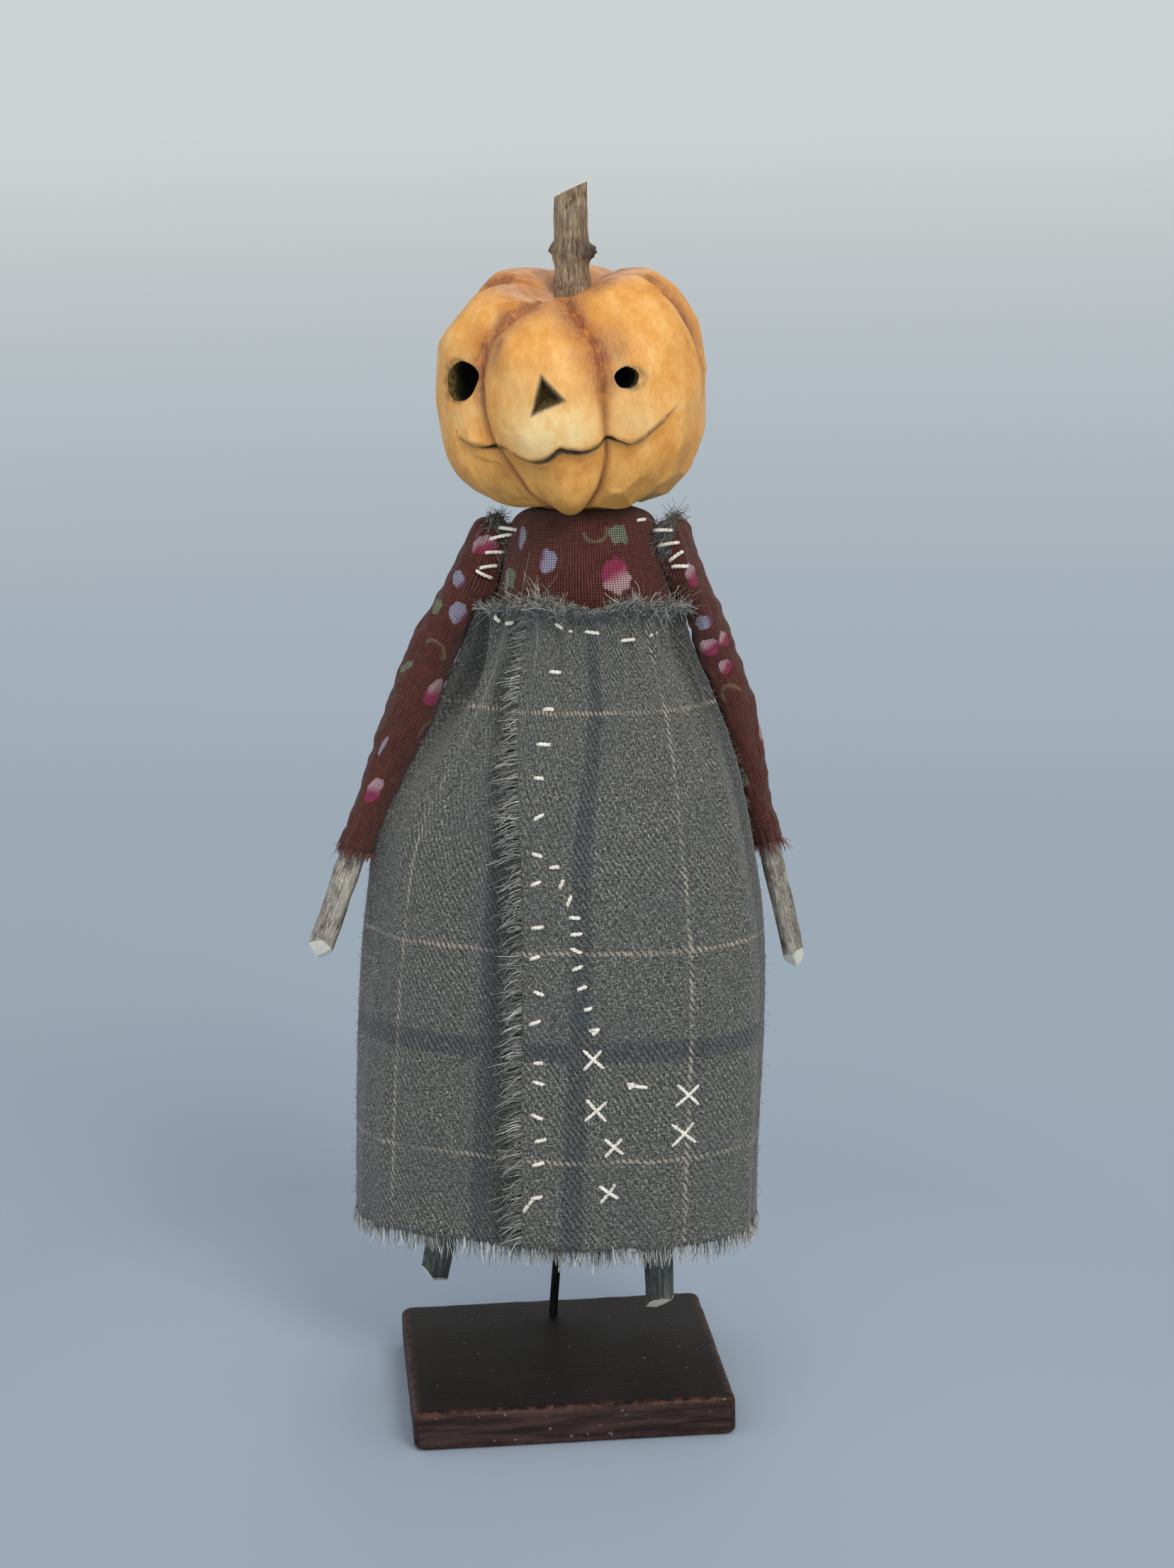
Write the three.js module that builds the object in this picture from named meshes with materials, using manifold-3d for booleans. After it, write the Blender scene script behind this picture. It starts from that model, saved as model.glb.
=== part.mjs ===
// A folk art doll on a stand: carved pumpkin head, calico bodice and sleeves, wool wrap skirt,
// twig arms and legs, and a bent wire that carries the doll over a small stained board.
// Millimetres, +Z up. The origin is the centre of the board's underside, and -Y is the board's front.
// Left and right are the doll's own: its right arm is on the viewer's left.
import * as THREE from "three";
import { mergeVertices } from "three/addons/utils/BufferGeometryUtils.js";
import Module from "manifold-3d";

const wasm = await Module();
wasm.setup();
const rad = THREE.MathUtils.degToRad;

// Stand
const BASE_WIDTH = 60;
const BASE_DEPTH = 60;
const BASE_THICKNESS = 7.2;
const BASE_CORNER_RADIUS = 1.8;
const BASE_EDGE_ROUNDING = 0.8;
const WIRE_DIAMETER = 1.7;
const WIRE_FROM_BACK_EDGE = 8.9;
const WIRE_HOLE_DEPTH = 5;
const WIRE_LEAN_SIDEWAYS = 9.7;
const WIRE_LEAN_FORWARD = 8.8;
const WIRE_BEND_LENGTH = 10;
const WIRE_SOCKET_DEPTH = 26;
const DOLL_TURN = rad(-20);

// Fits and cloth
const FIT = 0.3;
const CALICO_THICKNESS = 0.5;
const WOOL_THICKNESS = 1.1;

// Legs
const LEG_DIAMETER = 5.7;
const LEG_LENGTH = 114.6;
const LEG_PIN_INSET = 4;
const LEG_LEAN = { left: rad(0.5), right: rad(11.6) };
const FOOT_ABOVE_BASE = 6.3;
const HIP_WIRE_DIAMETER = 1.2;
const HIP_WIRE_FORWARD = 3;
const HIP_WIRE_END_GAP = 1.5;
const HIP_WIRE_HOOK = 3;

// Torso
const PEG_HALF_WIDTH = 7.5;
const PEG_BELOW_PIN = 5;
const PEG_LENGTH = 16;
const WAIST_HALF_WIDTH = 17.2;
const SHOULDER_HALF_WIDTH = 14;
const NECK_HALF_WIDTH = 7;
const PEG_TO_WAIST = 15;
const WAIST_TO_SHOULDER = 15;
const SHOULDER_TO_NECK = 4.5;
const TORSO_DEPTH_RATIO = 0.68;
const WIRE_BEHIND_TORSO = 2.5;
const BODICE_BELOW_WAIST = 7;

// Head and neck
const HEAD_WIDTH = 51.8;
const HEAD_DEPTH = 48;
const HEAD_RISE_ABOVE_MIDDLE = 25.6;
const HEAD_FALL_BELOW_MIDDLE = 25.4;
const HEAD_OFFSET_X = -1.4;
const HEAD_ROUNDNESS = 2.35;
const TOP_DIMPLE = 8.4;
const BOTTOM_DIMPLE = 5;
const TOP_DIMPLE_SPREAD = 0.34;
const BOTTOM_DIMPLE_SPREAD = 0.52;
const GROOVE_AZIMUTHS = [-32, 30, 96, 152, 210, 273].map(rad);
const GROOVE_DEPTH = 0.13;
const GROOVE_SHARPNESS = 2.6;
const CROWN_SAG = 4.9;
const CROWN_SAG_AZIMUTH = rad(-10);
const CROWN_SAG_POWER = 1.6;
const CROWN_SAG_FROM = 6;
const CROWN_SAG_FULL = 21;
const NECK_DOWEL_DIAMETER = 5;
const NECK_SHOWN = 1.5;
const NECK_IN_TORSO = 9;
const NECK_IN_HEAD = 11;
const EYE_AZIMUTH = { left: rad(40), right: rad(-46.5) };
const EYE_DIAMETER = { left: 3.9, right: 7.4 };
const EYE_DEPTH = 5.5;
const EYE_HEIGHT = { left: 3.6, right: 2.9 };
const NOSE_AZIMUTH = rad(3.4);
const NOSE_WIDTH = 5.4;
const NOSE_HEIGHT = 6.6;
const NOSE_DEPTH = 4;
const MOUTH_DROP = 9.5;
const MOUTH_RISE = 7;
const MOUTH_HALF_ANGLE = rad(62);
const LIP_STEP = 1.1;
const LIP_EDGE_ABOVE = 0.6;
const LIP_EDGE_BELOW = 0.9;
const LIP_FADE_FROM = 3;
const LIP_FADE_TO = 11;
const STEM_DIAMETER = 6.2;
const STEM_LENGTH = 28.1;
const STEM_IN_HEAD = 7.1;
const STEM_TOP_SLOPE = rad(26);
const STEM_BUD_HEIGHT = 7.8;
const STEM_BUD_DIAMETER = 2.4;

// Skirt
const SKIRT_LENGTH = 122;
const SKIRT_HALF_WIDTH = 40.5;
const SKIRT_HALF_DEPTH = 23;
const SKIRT_HIP_DROP = 0.266;
const SKIRT_HIP_POWER = 1.71;
const SKIRT_SWAY = -5.3;
const SKIRT_HEM_SWAY = -4.9;
const SKIRT_OVERLAP = rad(44);
const SKIRT_EDGE_AT_WAIST = rad(-18);
const SKIRT_EDGE_AT_HEM = rad(-2);
const SKIRT_LAYER_GAP = 0.4;
const SKIRT_FOLD_COUNT = 9;
const SKIRT_FOLD_DEPTH = 0.8;
const SKIRT_BILLOW = 4.4;
const SKIRT_BILLOW_AZIMUTH = rad(-82);
const SKIRT_BILLOW_SPREAD = rad(32);
const SKIRT_BILLOW_DROP = 0.1;
const SKIRT_BILLOW_LENGTH = 0.06;
const FRILL_HEIGHT = 4.5;
const FRILL_FLARE = 1.6;
const FRILL_AT_SIDES = 0.25;

// Arms
const SHOULDER_GAP = 4.2;
const WRIST_DROP = 60.5;
const ARM_SWING = { left: 0.19, right: -0.13 };
const ARM_SPREAD = { left: rad(14), right: rad(26) };
const WRIST_CURL = { left: 1.3, right: 2.93 };
const ARM_CLEARANCE = 0.7;
const HAND_SPREAD = { left: rad(9.5), right: rad(20) };
const SLEEVE_TOP_HALF_WIDTH = { left: 3.2, right: 3.4 };
const SLEEVE_HALF_WIDTH = { left: 3.7, right: 4.8 };
const SLEEVE_TOP_HALF_DEPTH = 5;
const SLEEVE_START = 0.5;
const ROLL_DOME = 2.4;
const ROLL_END = 0.82;
const ARM_TWIG_DIAMETER = { left: 4.1, right: 4.9 };
const HAND_LENGTH = { left: 28, right: 24 };
const TWIG_IN_SLEEVE = 12;

const SIDES = { left: 1, right: -1 };
const MESH_SIDES = { twig: 12, sleeve: 14, torso: 32, head: 60, wire: 5 };

// Heights above the board's top, stacked from the longer leg's foot upwards
const HIP_HEIGHT =
  FOOT_ABOVE_BASE + (LEG_LENGTH - LEG_PIN_INSET) * Math.cos(Math.min(LEG_LEAN.left, LEG_LEAN.right));
const TORSO_BOTTOM = HIP_HEIGHT - PEG_BELOW_PIN;
const PEG_TOP = TORSO_BOTTOM + PEG_LENGTH;
const WAIST = PEG_TOP + PEG_TO_WAIST;
const SHOULDER = WAIST + WAIST_TO_SHOULDER;
const TORSO_TOP = SHOULDER + SHOULDER_TO_NECK;
const HEAD_FLOOR = HEAD_FALL_BELOW_MIDDLE - BOTTOM_DIMPLE;
const HEAD_CROWN = HEAD_RISE_ABOVE_MIDDLE - TOP_DIMPLE;
const HEAD_CENTRE = TORSO_TOP + NECK_SHOWN + HEAD_FLOOR;
const HEM = WAIST - SKIRT_LENGTH;

// Places on the board, in its own axes
const WIRE_FOOT = new THREE.Vector2(0, BASE_DEPTH / 2 - WIRE_FROM_BACK_EDGE);
const TURN_AXIS = new THREE.Vector2(WIRE_FOOT.x + WIRE_LEAN_SIDEWAYS, WIRE_FOOT.y - WIRE_LEAN_FORWARD);

// Finishes
const FINISH = {
  stained_board: { color: 0x2b201d, roughness: 0.6, metalness: 0 },
  black_wire: { color: 0x16171a, roughness: 0.45, metalness: 0.7 },
  bare_wood: { color: 0xc9a777, roughness: 0.75, metalness: 0 },
  pumpkin_paint: { color: 0xd58a34, roughness: 0.6, metalness: 0 },
  bark: { color: 0x77695a, roughness: 0.9, metalness: 0 },
  calico: { color: 0x4a211e, roughness: 0.95, metalness: 0 },
  wool: { color: 0x55534f, roughness: 1, metalness: 0 },
};

// Solid helpers

function solidOf(geometry) {
  const bare = new THREE.BufferGeometry();
  bare.setAttribute("position", geometry.getAttribute("position"));
  if (geometry.index) bare.setIndex(geometry.index);
  const merged = mergeVertices(bare, 1e-4);
  return new wasm.Manifold(
    new wasm.Mesh({
      numProp: 3,
      vertProperties: new Float32Array(merged.attributes.position.array),
      triVerts: new Uint32Array(merged.index.array),
    }),
  );
}

function geometryOf(solid) {
  const { vertProperties, triVerts } = solid.getMesh();
  const geometry = new THREE.BufferGeometry();
  geometry.setAttribute("position", new THREE.BufferAttribute(new Float32Array(vertProperties), 3));
  geometry.setIndex(new THREE.BufferAttribute(new Uint32Array(triVerts), 1));
  return geometry;
}

function cut(geometry, tools) {
  const start = solidOf(geometry);
  return geometryOf(tools.reduce((left, tool) => left.subtract(solidOf(tool)), start));
}

function join(geometry, extras) {
  const start = solidOf(geometry);
  return geometryOf(extras.reduce((whole, extra) => whole.add(solidOf(extra)), start));
}

// Triangles between two rings of equal count; flip turns the faces round.
function bridge(index, lower, upper, count, flip) {
  for (let i = 0; i < count; i++) {
    const j = (i + 1) % count;
    const quad = [lower + i, lower + j, upper + j, upper + i];
    if (flip) quad.reverse();
    index.push(quad[0], quad[1], quad[2], quad[0], quad[2], quad[3]);
  }
}

function geometryFrom(points, index) {
  const geometry = new THREE.BufferGeometry().setFromPoints(points);
  geometry.setIndex(index);
  return geometry;
}

// A closed solid through rings of points that turn anticlockwise seen from the far end.
function loft(rings) {
  const count = rings[0].length;
  const points = rings.flat();
  const index = [];
  for (let k = 0; k + 1 < rings.length; k++) bridge(index, k * count, (k + 1) * count, count, false);
  const ends = [rings[0], rings[rings.length - 1]];
  ends.forEach((ring, end) => {
    const centre = ring.reduce((sum, p) => sum.add(p), new THREE.Vector3()).divideScalar(count);
    const hub = points.push(centre) - 1;
    const first = end === 0 ? 0 : (rings.length - 1) * count;
    for (let i = 0; i < count; i++) {
      const j = (i + 1) % count;
      if (end === 0) index.push(hub, first + j, first + i);
      else index.push(hub, first + i, first + j);
    }
  });
  return geometryFrom(points, index);
}

// A tube wall between outer and inner rings, open at both ends.
function wall(outer, inner) {
  const count = outer[0].length;
  const rows = outer.length;
  const points = [...outer.flat(), ...inner.flat()];
  const index = [];
  const innerStart = rows * count;
  for (let k = 0; k + 1 < rows; k++) {
    bridge(index, k * count, (k + 1) * count, count, false);
    bridge(index, innerStart + k * count, innerStart + (k + 1) * count, count, true);
  }
  bridge(index, 0, innerStart, count, true);
  bridge(index, (rows - 1) * count, innerStart + (rows - 1) * count, count, false);
  return geometryFrom(points, index);
}

// An elliptical ring in a horizontal plane.
function flatRing(centreX, z, halfWidth, halfDepth, sides) {
  return Array.from({ length: sides }, (_, i) => {
    const angle = (2 * Math.PI * i) / sides;
    return new THREE.Vector3(centreX + halfWidth * Math.cos(angle), halfDepth * Math.sin(angle), z);
  });
}

// An elliptical ring square to a direction that runs mostly downwards.
function ringAcross(centre, direction, halfWidth, halfDepth, sides) {
  const across = new THREE.Vector3().crossVectors(new THREE.Vector3(0, 1, 0), direction).normalize();
  const depth = new THREE.Vector3().crossVectors(direction, across).normalize();
  return Array.from({ length: sides }, (_, i) => {
    const angle = (2 * Math.PI * i) / sides;
    return centre
      .clone()
      .addScaledVector(across, halfWidth * Math.cos(angle))
      .addScaledVector(depth, halfDepth * Math.sin(angle));
  });
}

function upright(geometry) {
  return geometry.rotateX(Math.PI / 2);
}

function drill(radius, length, sides = MESH_SIDES.twig) {
  return upright(new THREE.CylinderGeometry(radius, radius, length, sides));
}

function rodAlong(curve, diameter, steps) {
  const section = new THREE.Shape();
  section.absarc(0, 0, diameter / 2, 0, 2 * Math.PI);
  return new THREE.ExtrudeGeometry(section, {
    extrudePath: curve,
    steps,
    curveSegments: MESH_SIDES.wire,
    bevelEnabled: false,
  });
}

// Straight runs joined by round bends that each take bendLength off the runs beside them.
function bentPath(corners, bendLength) {
  const path = new THREE.CurvePath();
  let start = corners[0];
  for (let i = 1; i + 1 < corners.length; i++) {
    const corner = corners[i];
    const before = corner.clone().sub(start).setLength(bendLength / 2);
    const after = corners[i + 1].clone().sub(corner).setLength(bendLength / 2);
    const enter = corner.clone().sub(before);
    const leave = corner.clone().add(after);
    path.add(new THREE.LineCurve3(start, enter));
    path.add(new THREE.QuadraticBezierCurve3(enter, corner, leave));
    start = leave;
  }
  path.add(new THREE.LineCurve3(start, corners[corners.length - 1]));
  return path;
}

function smooth(low, high, value) {
  return THREE.MathUtils.smoothstep(value, low, high);
}

function mesh(name, geometry, finish) {
  const made = new THREE.Mesh(geometry, new THREE.MeshStandardMaterial(FINISH[finish]));
  made.name = name;
  return made;
}

// A twig of natural wood: a tapering stick with slight swellings, from its top down, whittled at the foot.
function twig(diameter, length, taper, knots) {
  const rows = 9;
  const rings = Array.from({ length: rows }, (_, k) => {
    const share = k / (rows - 1);
    const swell = knots.reduce((sum, knot) => sum + 0.09 * Math.exp(-(((share - knot) / 0.05) ** 2)), 0);
    const radius = (diameter / 2) * (1 - taper * share + swell);
    return flatRing(0, -length * share, radius, radius, MESH_SIDES.twig).reverse();
  });
  return loft(rings);
}

// Knife cuts that leave a blunt faceted point at the twig's lower end.
function whittleCuts(diameter, length, turns) {
  const size = 4 * diameter;
  return turns.map((turn, i) => {
    const tool = new THREE.BoxGeometry(size, size, size);
    tool.translate(size / 2, 0, 0);
    tool.rotateY(rad(38 + 6 * i));
    tool.translate(diameter * 0.2, 0, -length);
    return tool.rotateZ(rad(turn));
  });
}

// Board and wire

function baseBoard() {
  const w = BASE_WIDTH / 2 - BASE_EDGE_ROUNDING;
  const d = BASE_DEPTH / 2 - BASE_EDGE_ROUNDING;
  const r = BASE_CORNER_RADIUS - BASE_EDGE_ROUNDING;
  const outline = new THREE.Shape();
  outline.absarc(w - r, d - r, r, 0, Math.PI / 2);
  outline.absarc(r - w, d - r, r, Math.PI / 2, Math.PI);
  outline.absarc(r - w, r - d, r, Math.PI, 1.5 * Math.PI);
  outline.absarc(w - r, r - d, r, 1.5 * Math.PI, 2 * Math.PI);
  const board = new THREE.ExtrudeGeometry(outline, {
    depth: BASE_THICKNESS - 2 * BASE_EDGE_ROUNDING,
    bevelThickness: BASE_EDGE_ROUNDING,
    bevelSize: BASE_EDGE_ROUNDING,
    bevelSegments: 3,
    curveSegments: 4,
  });
  board.translate(0, 0, BASE_EDGE_ROUNDING);
  const depth = WIRE_HOLE_DEPTH + FIT;
  const hole = drill(WIRE_DIAMETER / 2 + FIT, 2 * depth);
  hole.translate(WIRE_FOOT.x, WIRE_FOOT.y, BASE_THICKNESS);
  return cut(board, [hole]);
}

function supportWire() {
  const at = (place, z) => new THREE.Vector3(place.x, place.y, BASE_THICKNESS + z);
  const path = bentPath(
    [
      at(WIRE_FOOT, -WIRE_HOLE_DEPTH),
      at(WIRE_FOOT, WIRE_DIAMETER),
      at(TURN_AXIS, TORSO_BOTTOM - WIRE_BEND_LENGTH),
      at(TURN_AXIS, TORSO_BOTTOM + WIRE_SOCKET_DEPTH),
    ],
    2 * WIRE_DIAMETER,
  );
  return rodAlong(path, WIRE_DIAMETER, 44);
}

// Torso, bodice and neck

function torsoHalfWidth(z) {
  if (z <= PEG_TOP) return PEG_HALF_WIDTH;
  if (z <= WAIST) {
    return PEG_HALF_WIDTH + (WAIST_HALF_WIDTH - PEG_HALF_WIDTH) * smooth(PEG_TOP, WAIST, z);
  }
  if (z <= SHOULDER) {
    return THREE.MathUtils.mapLinear(z, WAIST, SHOULDER, WAIST_HALF_WIDTH, SHOULDER_HALF_WIDTH);
  }
  const share = (z - SHOULDER) / (TORSO_TOP - SHOULDER);
  return NECK_HALF_WIDTH + (SHOULDER_HALF_WIDTH - NECK_HALF_WIDTH) * Math.sqrt(Math.max(0, 1 - share ** 2));
}

// The heights of the torso's rings from one level to the neck, close together over the shoulder.
function torsoLevels(bottom) {
  const levels = [TORSO_BOTTOM, PEG_TOP, PEG_TOP + PEG_TO_WAIST / 3, PEG_TOP + (2 * PEG_TO_WAIST) / 3];
  levels.push(WAIST, WAIST + WAIST_TO_SHOULDER / 2, SHOULDER);
  [0.4, 0.7, 0.9, 1].forEach((share) => levels.push(SHOULDER + share * SHOULDER_TO_NECK));
  return [bottom, ...levels.filter((z) => z > bottom + FIT)];
}

function torsoRings(bottom, inset) {
  return torsoLevels(bottom).map((z) => {
    const half = torsoHalfWidth(z);
    return flatRing(0, z, half - inset, half * TORSO_DEPTH_RATIO - inset, MESH_SIDES.torso);
  });
}

function torsoCore() {
  const core = loft(torsoRings(TORSO_BOTTOM, CALICO_THICKNESS + FIT));
  const wireSocket = drill(WIRE_DIAMETER / 2 + FIT, 2 * (WIRE_SOCKET_DEPTH + FIT));
  wireSocket.translate(0, WIRE_BEHIND_TORSO, TORSO_BOTTOM);
  const neckSocket = drill(NECK_DOWEL_DIAMETER / 2 + FIT, 2 * (NECK_IN_TORSO + FIT));
  neckSocket.translate(HEAD_OFFSET_X, 0, TORSO_TOP);
  const hipHole = drill(HIP_WIRE_DIAMETER / 2 + FIT, 4 * PEG_HALF_WIDTH).rotateY(Math.PI / 2);
  hipHole.translate(0, -HIP_WIRE_FORWARD, HIP_HEIGHT);
  return cut(core, [wireSocket, neckSocket, hipHole]);
}

function bodice() {
  const bottom = WAIST - BODICE_BELOW_WAIST;
  return wall(torsoRings(bottom, 0), torsoRings(bottom, CALICO_THICKNESS));
}

function neckDowel() {
  const length = NECK_IN_TORSO + NECK_SHOWN + NECK_IN_HEAD;
  const dowel = drill(NECK_DOWEL_DIAMETER / 2, length, 20);
  return dowel.translate(HEAD_OFFSET_X, 0, TORSO_TOP - NECK_IN_TORSO + length / 2);
}

// Carved pumpkin head. Azimuth 0 is the front and grows towards the doll's left.

function grooveShare(azimuth) {
  const turn = 2 * Math.PI;
  const count = GROOVE_AZIMUTHS.length;
  for (let i = 0; i < count; i++) {
    const from = GROOVE_AZIMUTHS[i];
    const width = (GROOVE_AZIMUTHS[(i + 1) % count] - from + turn) % turn;
    const into = (((azimuth - from) % turn) + turn) % turn;
    if (into <= width) return Math.abs((2 * into) / width - 1) ** GROOVE_SHARPNESS;
  }
  return 0;
}

function mouthHeight(azimuth) {
  return -MOUTH_DROP + MOUTH_RISE * (azimuth / MOUTH_HALF_ANGLE) ** 4;
}

// How far the crown hangs lower at the front, at a height over the head's middle and a distance from the stem.
function crownSag(azimuth, height, out) {
  const facing = Math.max(0, Math.cos(azimuth - CROWN_SAG_AZIMUTH)) ** CROWN_SAG_POWER;
  return CROWN_SAG * facing * smooth(CROWN_SAG_FROM, CROWN_SAG_FULL, height) * smooth(0.05, 0.35, out);
}

function headPoint(azimuth, latitude) {
  const power = 2 / HEAD_ROUNDNESS;
  const out = Math.cos(latitude) ** power;
  const up = Math.sign(latitude) * Math.abs(Math.sin(latitude)) ** power;
  const hollow = up > 0 ? TOP_DIMPLE : -BOTTOM_DIMPLE;
  const spread = up > 0 ? TOP_DIMPLE_SPREAD : BOTTOM_DIMPLE_SPREAD;
  const height = up > 0 ? HEAD_RISE_ABOVE_MIDDLE : HEAD_FALL_BELOW_MIDDLE;
  const round = up * height - hollow * Math.exp(-((out / spread) ** 2));
  const z = round - crownSag(azimuth, round, out);
  const groove = 1 - GROOVE_DEPTH * grooveShare(azimuth) * smooth(0, 0.5, out);
  const front = smooth(Math.cos(MOUTH_HALF_ANGLE), 1, Math.cos(azimuth));
  const below = mouthHeight(azimuth) - z;
  const lip =
    LIP_STEP *
    front *
    smooth(-LIP_EDGE_ABOVE, LIP_EDGE_BELOW, below) *
    (1 - smooth(LIP_FADE_FROM, LIP_FADE_TO, below));
  const halfWidth = (HEAD_WIDTH / 2) * out * groove - lip;
  const halfDepth = (HEAD_DEPTH / 2) * out * groove - lip;
  return new THREE.Vector3(halfWidth * Math.sin(azimuth), -halfDepth * Math.cos(azimuth), z);
}

// A cutter that enters the head square to its axis, at an azimuth and a height over its middle.
function faceCutter(tool, azimuth, height, depth) {
  const latitude = Math.asin((height / HEAD_RISE_ABOVE_MIDDLE) ** (HEAD_ROUNDNESS / 2));
  const surface = headPoint(azimuth, latitude);
  tool.rotateX(Math.PI / 2);
  tool.rotateZ(azimuth);
  const reach = Math.hypot(surface.x, surface.y) - depth;
  return tool.translate(reach * Math.sin(azimuth), -reach * Math.cos(azimuth), height);
}

function eyeCutter(side) {
  const length = 3 * EYE_DEPTH;
  const tool = drill(EYE_DIAMETER[side] / 2, length, 16).translate(0, 0, length / 2);
  return faceCutter(tool, EYE_AZIMUTH[side], EYE_HEIGHT[side], EYE_DEPTH);
}

function noseCutter() {
  const outline = new THREE.Shape();
  outline.moveTo(-0.55 * NOSE_WIDTH, -NOSE_HEIGHT / 2);
  outline.lineTo(0.45 * NOSE_WIDTH, -NOSE_HEIGHT / 6);
  outline.lineTo(-0.2 * NOSE_WIDTH, NOSE_HEIGHT / 2);
  outline.closePath();
  const tool = new THREE.ExtrudeGeometry(outline, { depth: 3 * NOSE_DEPTH, bevelEnabled: false });
  return faceCutter(tool, NOSE_AZIMUTH, 0, NOSE_DEPTH);
}

function pumpkinHead() {
  const rows = 29;
  const edge = rad(80);
  const rings = Array.from({ length: rows }, (_, k) => {
    const latitude = -edge + (2 * edge * k) / (rows - 1);
    return Array.from({ length: MESH_SIDES.head }, (_, i) =>
      headPoint((2 * Math.PI * i) / MESH_SIDES.head, latitude),
    );
  });
  const neckSocket = drill(NECK_DOWEL_DIAMETER / 2 + FIT, 2 * (NECK_IN_HEAD + FIT), 20);
  neckSocket.translate(0, 0, -HEAD_FLOOR);
  const stemSocket = drill(STEM_DIAMETER / 2 + FIT, 2 * (STEM_IN_HEAD + FIT), 16);
  stemSocket.translate(0, 0, HEAD_CROWN);
  const cutters = [neckSocket, stemSocket, eyeCutter("left"), eyeCutter("right"), noseCutter()];
  return cut(loft(rings), cutters).translate(HEAD_OFFSET_X, 0, HEAD_CENTRE);
}

function stemTwig() {
  const stick = twig(STEM_DIAMETER, STEM_LENGTH, 0, [0.45]);
  const budAt = STEM_LENGTH - STEM_IN_HEAD - STEM_BUD_HEIGHT;
  const buds = [-1, 1].map((side) => {
    const bud = new THREE.SphereGeometry(STEM_BUD_DIAMETER / 2, 10, 8);
    return bud.translate((side * STEM_DIAMETER) / 2, 0, -budAt);
  });
  const size = 4 * STEM_DIAMETER;
  const slope = new THREE.BoxGeometry(size, size, size).translate(0, 0, size / 2);
  slope.rotateY(-STEM_TOP_SLOPE);
  slope.translate(0, 0, (-STEM_DIAMETER / 2) * Math.tan(STEM_TOP_SLOPE));
  const stem = cut(join(stick, buds), [slope]);
  const seat = HEAD_CENTRE + HEAD_CROWN - STEM_IN_HEAD;
  return stem.translate(HEAD_OFFSET_X, 0, seat + STEM_LENGTH);
}

// Wrap skirt: one wool rectangle wound once round the waist and lapped over itself at the front.
// Angle 0 is the front and grows towards the doll's left; drop is 0 at the waist and 1 at the hem.

function skirtFullness(drop) {
  return drop <= 0 ? 0 : 1 - Math.exp(-((drop / SKIRT_HIP_DROP) ** SKIRT_HIP_POWER));
}

function skirtShape(drop) {
  const full = skirtFullness(drop);
  const waistWidth = WAIST_HALF_WIDTH + FIT + WOOL_THICKNESS;
  const waistDepth = WAIST_HALF_WIDTH * TORSO_DEPTH_RATIO + FIT + WOOL_THICKNESS;
  const sway = SKIRT_SWAY * smooth(0.08, 0.4, drop) + SKIRT_HEM_SWAY * smooth(0.3, 1.15, drop);
  return {
    centre: sway,
    halfWidth: waistWidth + (SKIRT_HALF_WIDTH - waistWidth) * full,
    halfDepth: waistDepth + (SKIRT_HALF_DEPTH - waistDepth) * full,
  };
}

// The outer end of the cloth rides over the inner end, then settles onto the body.
function lapLift(wound) {
  const layer = WOOL_THICKNESS + SKIRT_LAYER_GAP;
  return layer * (1 - smooth(SKIRT_OVERLAP * 1.1, SKIRT_OVERLAP * 2.1, wound));
}

function lapEdge(drop) {
  return THREE.MathUtils.lerp(SKIRT_EDGE_AT_WAIST, SKIRT_EDGE_AT_HEM, Math.max(0, drop));
}

// The extra fullness that hangs beside the doll's right arm.
function skirtBillow(angle, drop) {
  const turn = Math.atan2(Math.sin(angle - SKIRT_BILLOW_AZIMUTH), Math.cos(angle - SKIRT_BILLOW_AZIMUTH));
  const across = (turn / SKIRT_BILLOW_SPREAD) ** 2;
  const down = ((drop - SKIRT_BILLOW_DROP) / SKIRT_BILLOW_LENGTH) ** 2;
  return SKIRT_BILLOW * Math.exp(-across - down);
}

// How far the clothed body reaches to one side, at a place behind the middle and a height.
function bodyReach(side, y, z) {
  if (z > WAIST + FRILL_HEIGHT * FRILL_AT_SIDES) return torsoHalfWidth(z);
  const drop = (WAIST - z) / SKIRT_LENGTH;
  const shape = skirtShape(drop);
  const back = Math.asin(THREE.MathUtils.clamp(y / shape.halfDepth, -1, 1));
  const lap = side === "left" ? lapLift(Math.PI / 2 + back - lapEdge(drop)) : 0;
  const billow = skirtBillow(SIDES[side] * (Math.PI / 2 + back), drop);
  return SIDES[side] * shape.centre + (shape.halfWidth + lap + billow) * Math.cos(back);
}

function skirtPoint(angle, drop, lift) {
  const shape = skirtShape(drop);
  const frontal = Math.cos(angle) ** 2;
  const frill = FRILL_FLARE * frontal * smooth(0, FRILL_HEIGHT / SKIRT_LENGTH, -drop);
  const gather = SKIRT_FOLD_DEPTH * smooth(0.02, 0.16, drop) * (1 - 0.55 * smooth(0.2, 0.8, drop));
  const fold = gather * (Math.cos(SKIRT_FOLD_COUNT * angle + 2.4 * drop) - 1);
  const out = lift + frill + fold + skirtBillow(angle, drop);
  const fall = drop < 0 ? drop * THREE.MathUtils.lerp(FRILL_AT_SIDES, 1, frontal) : drop;
  return new THREE.Vector3(
    shape.centre + (shape.halfWidth + out) * Math.sin(angle),
    -(shape.halfDepth + out) * Math.cos(angle),
    WAIST - fall * SKIRT_LENGTH,
  );
}

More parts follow.
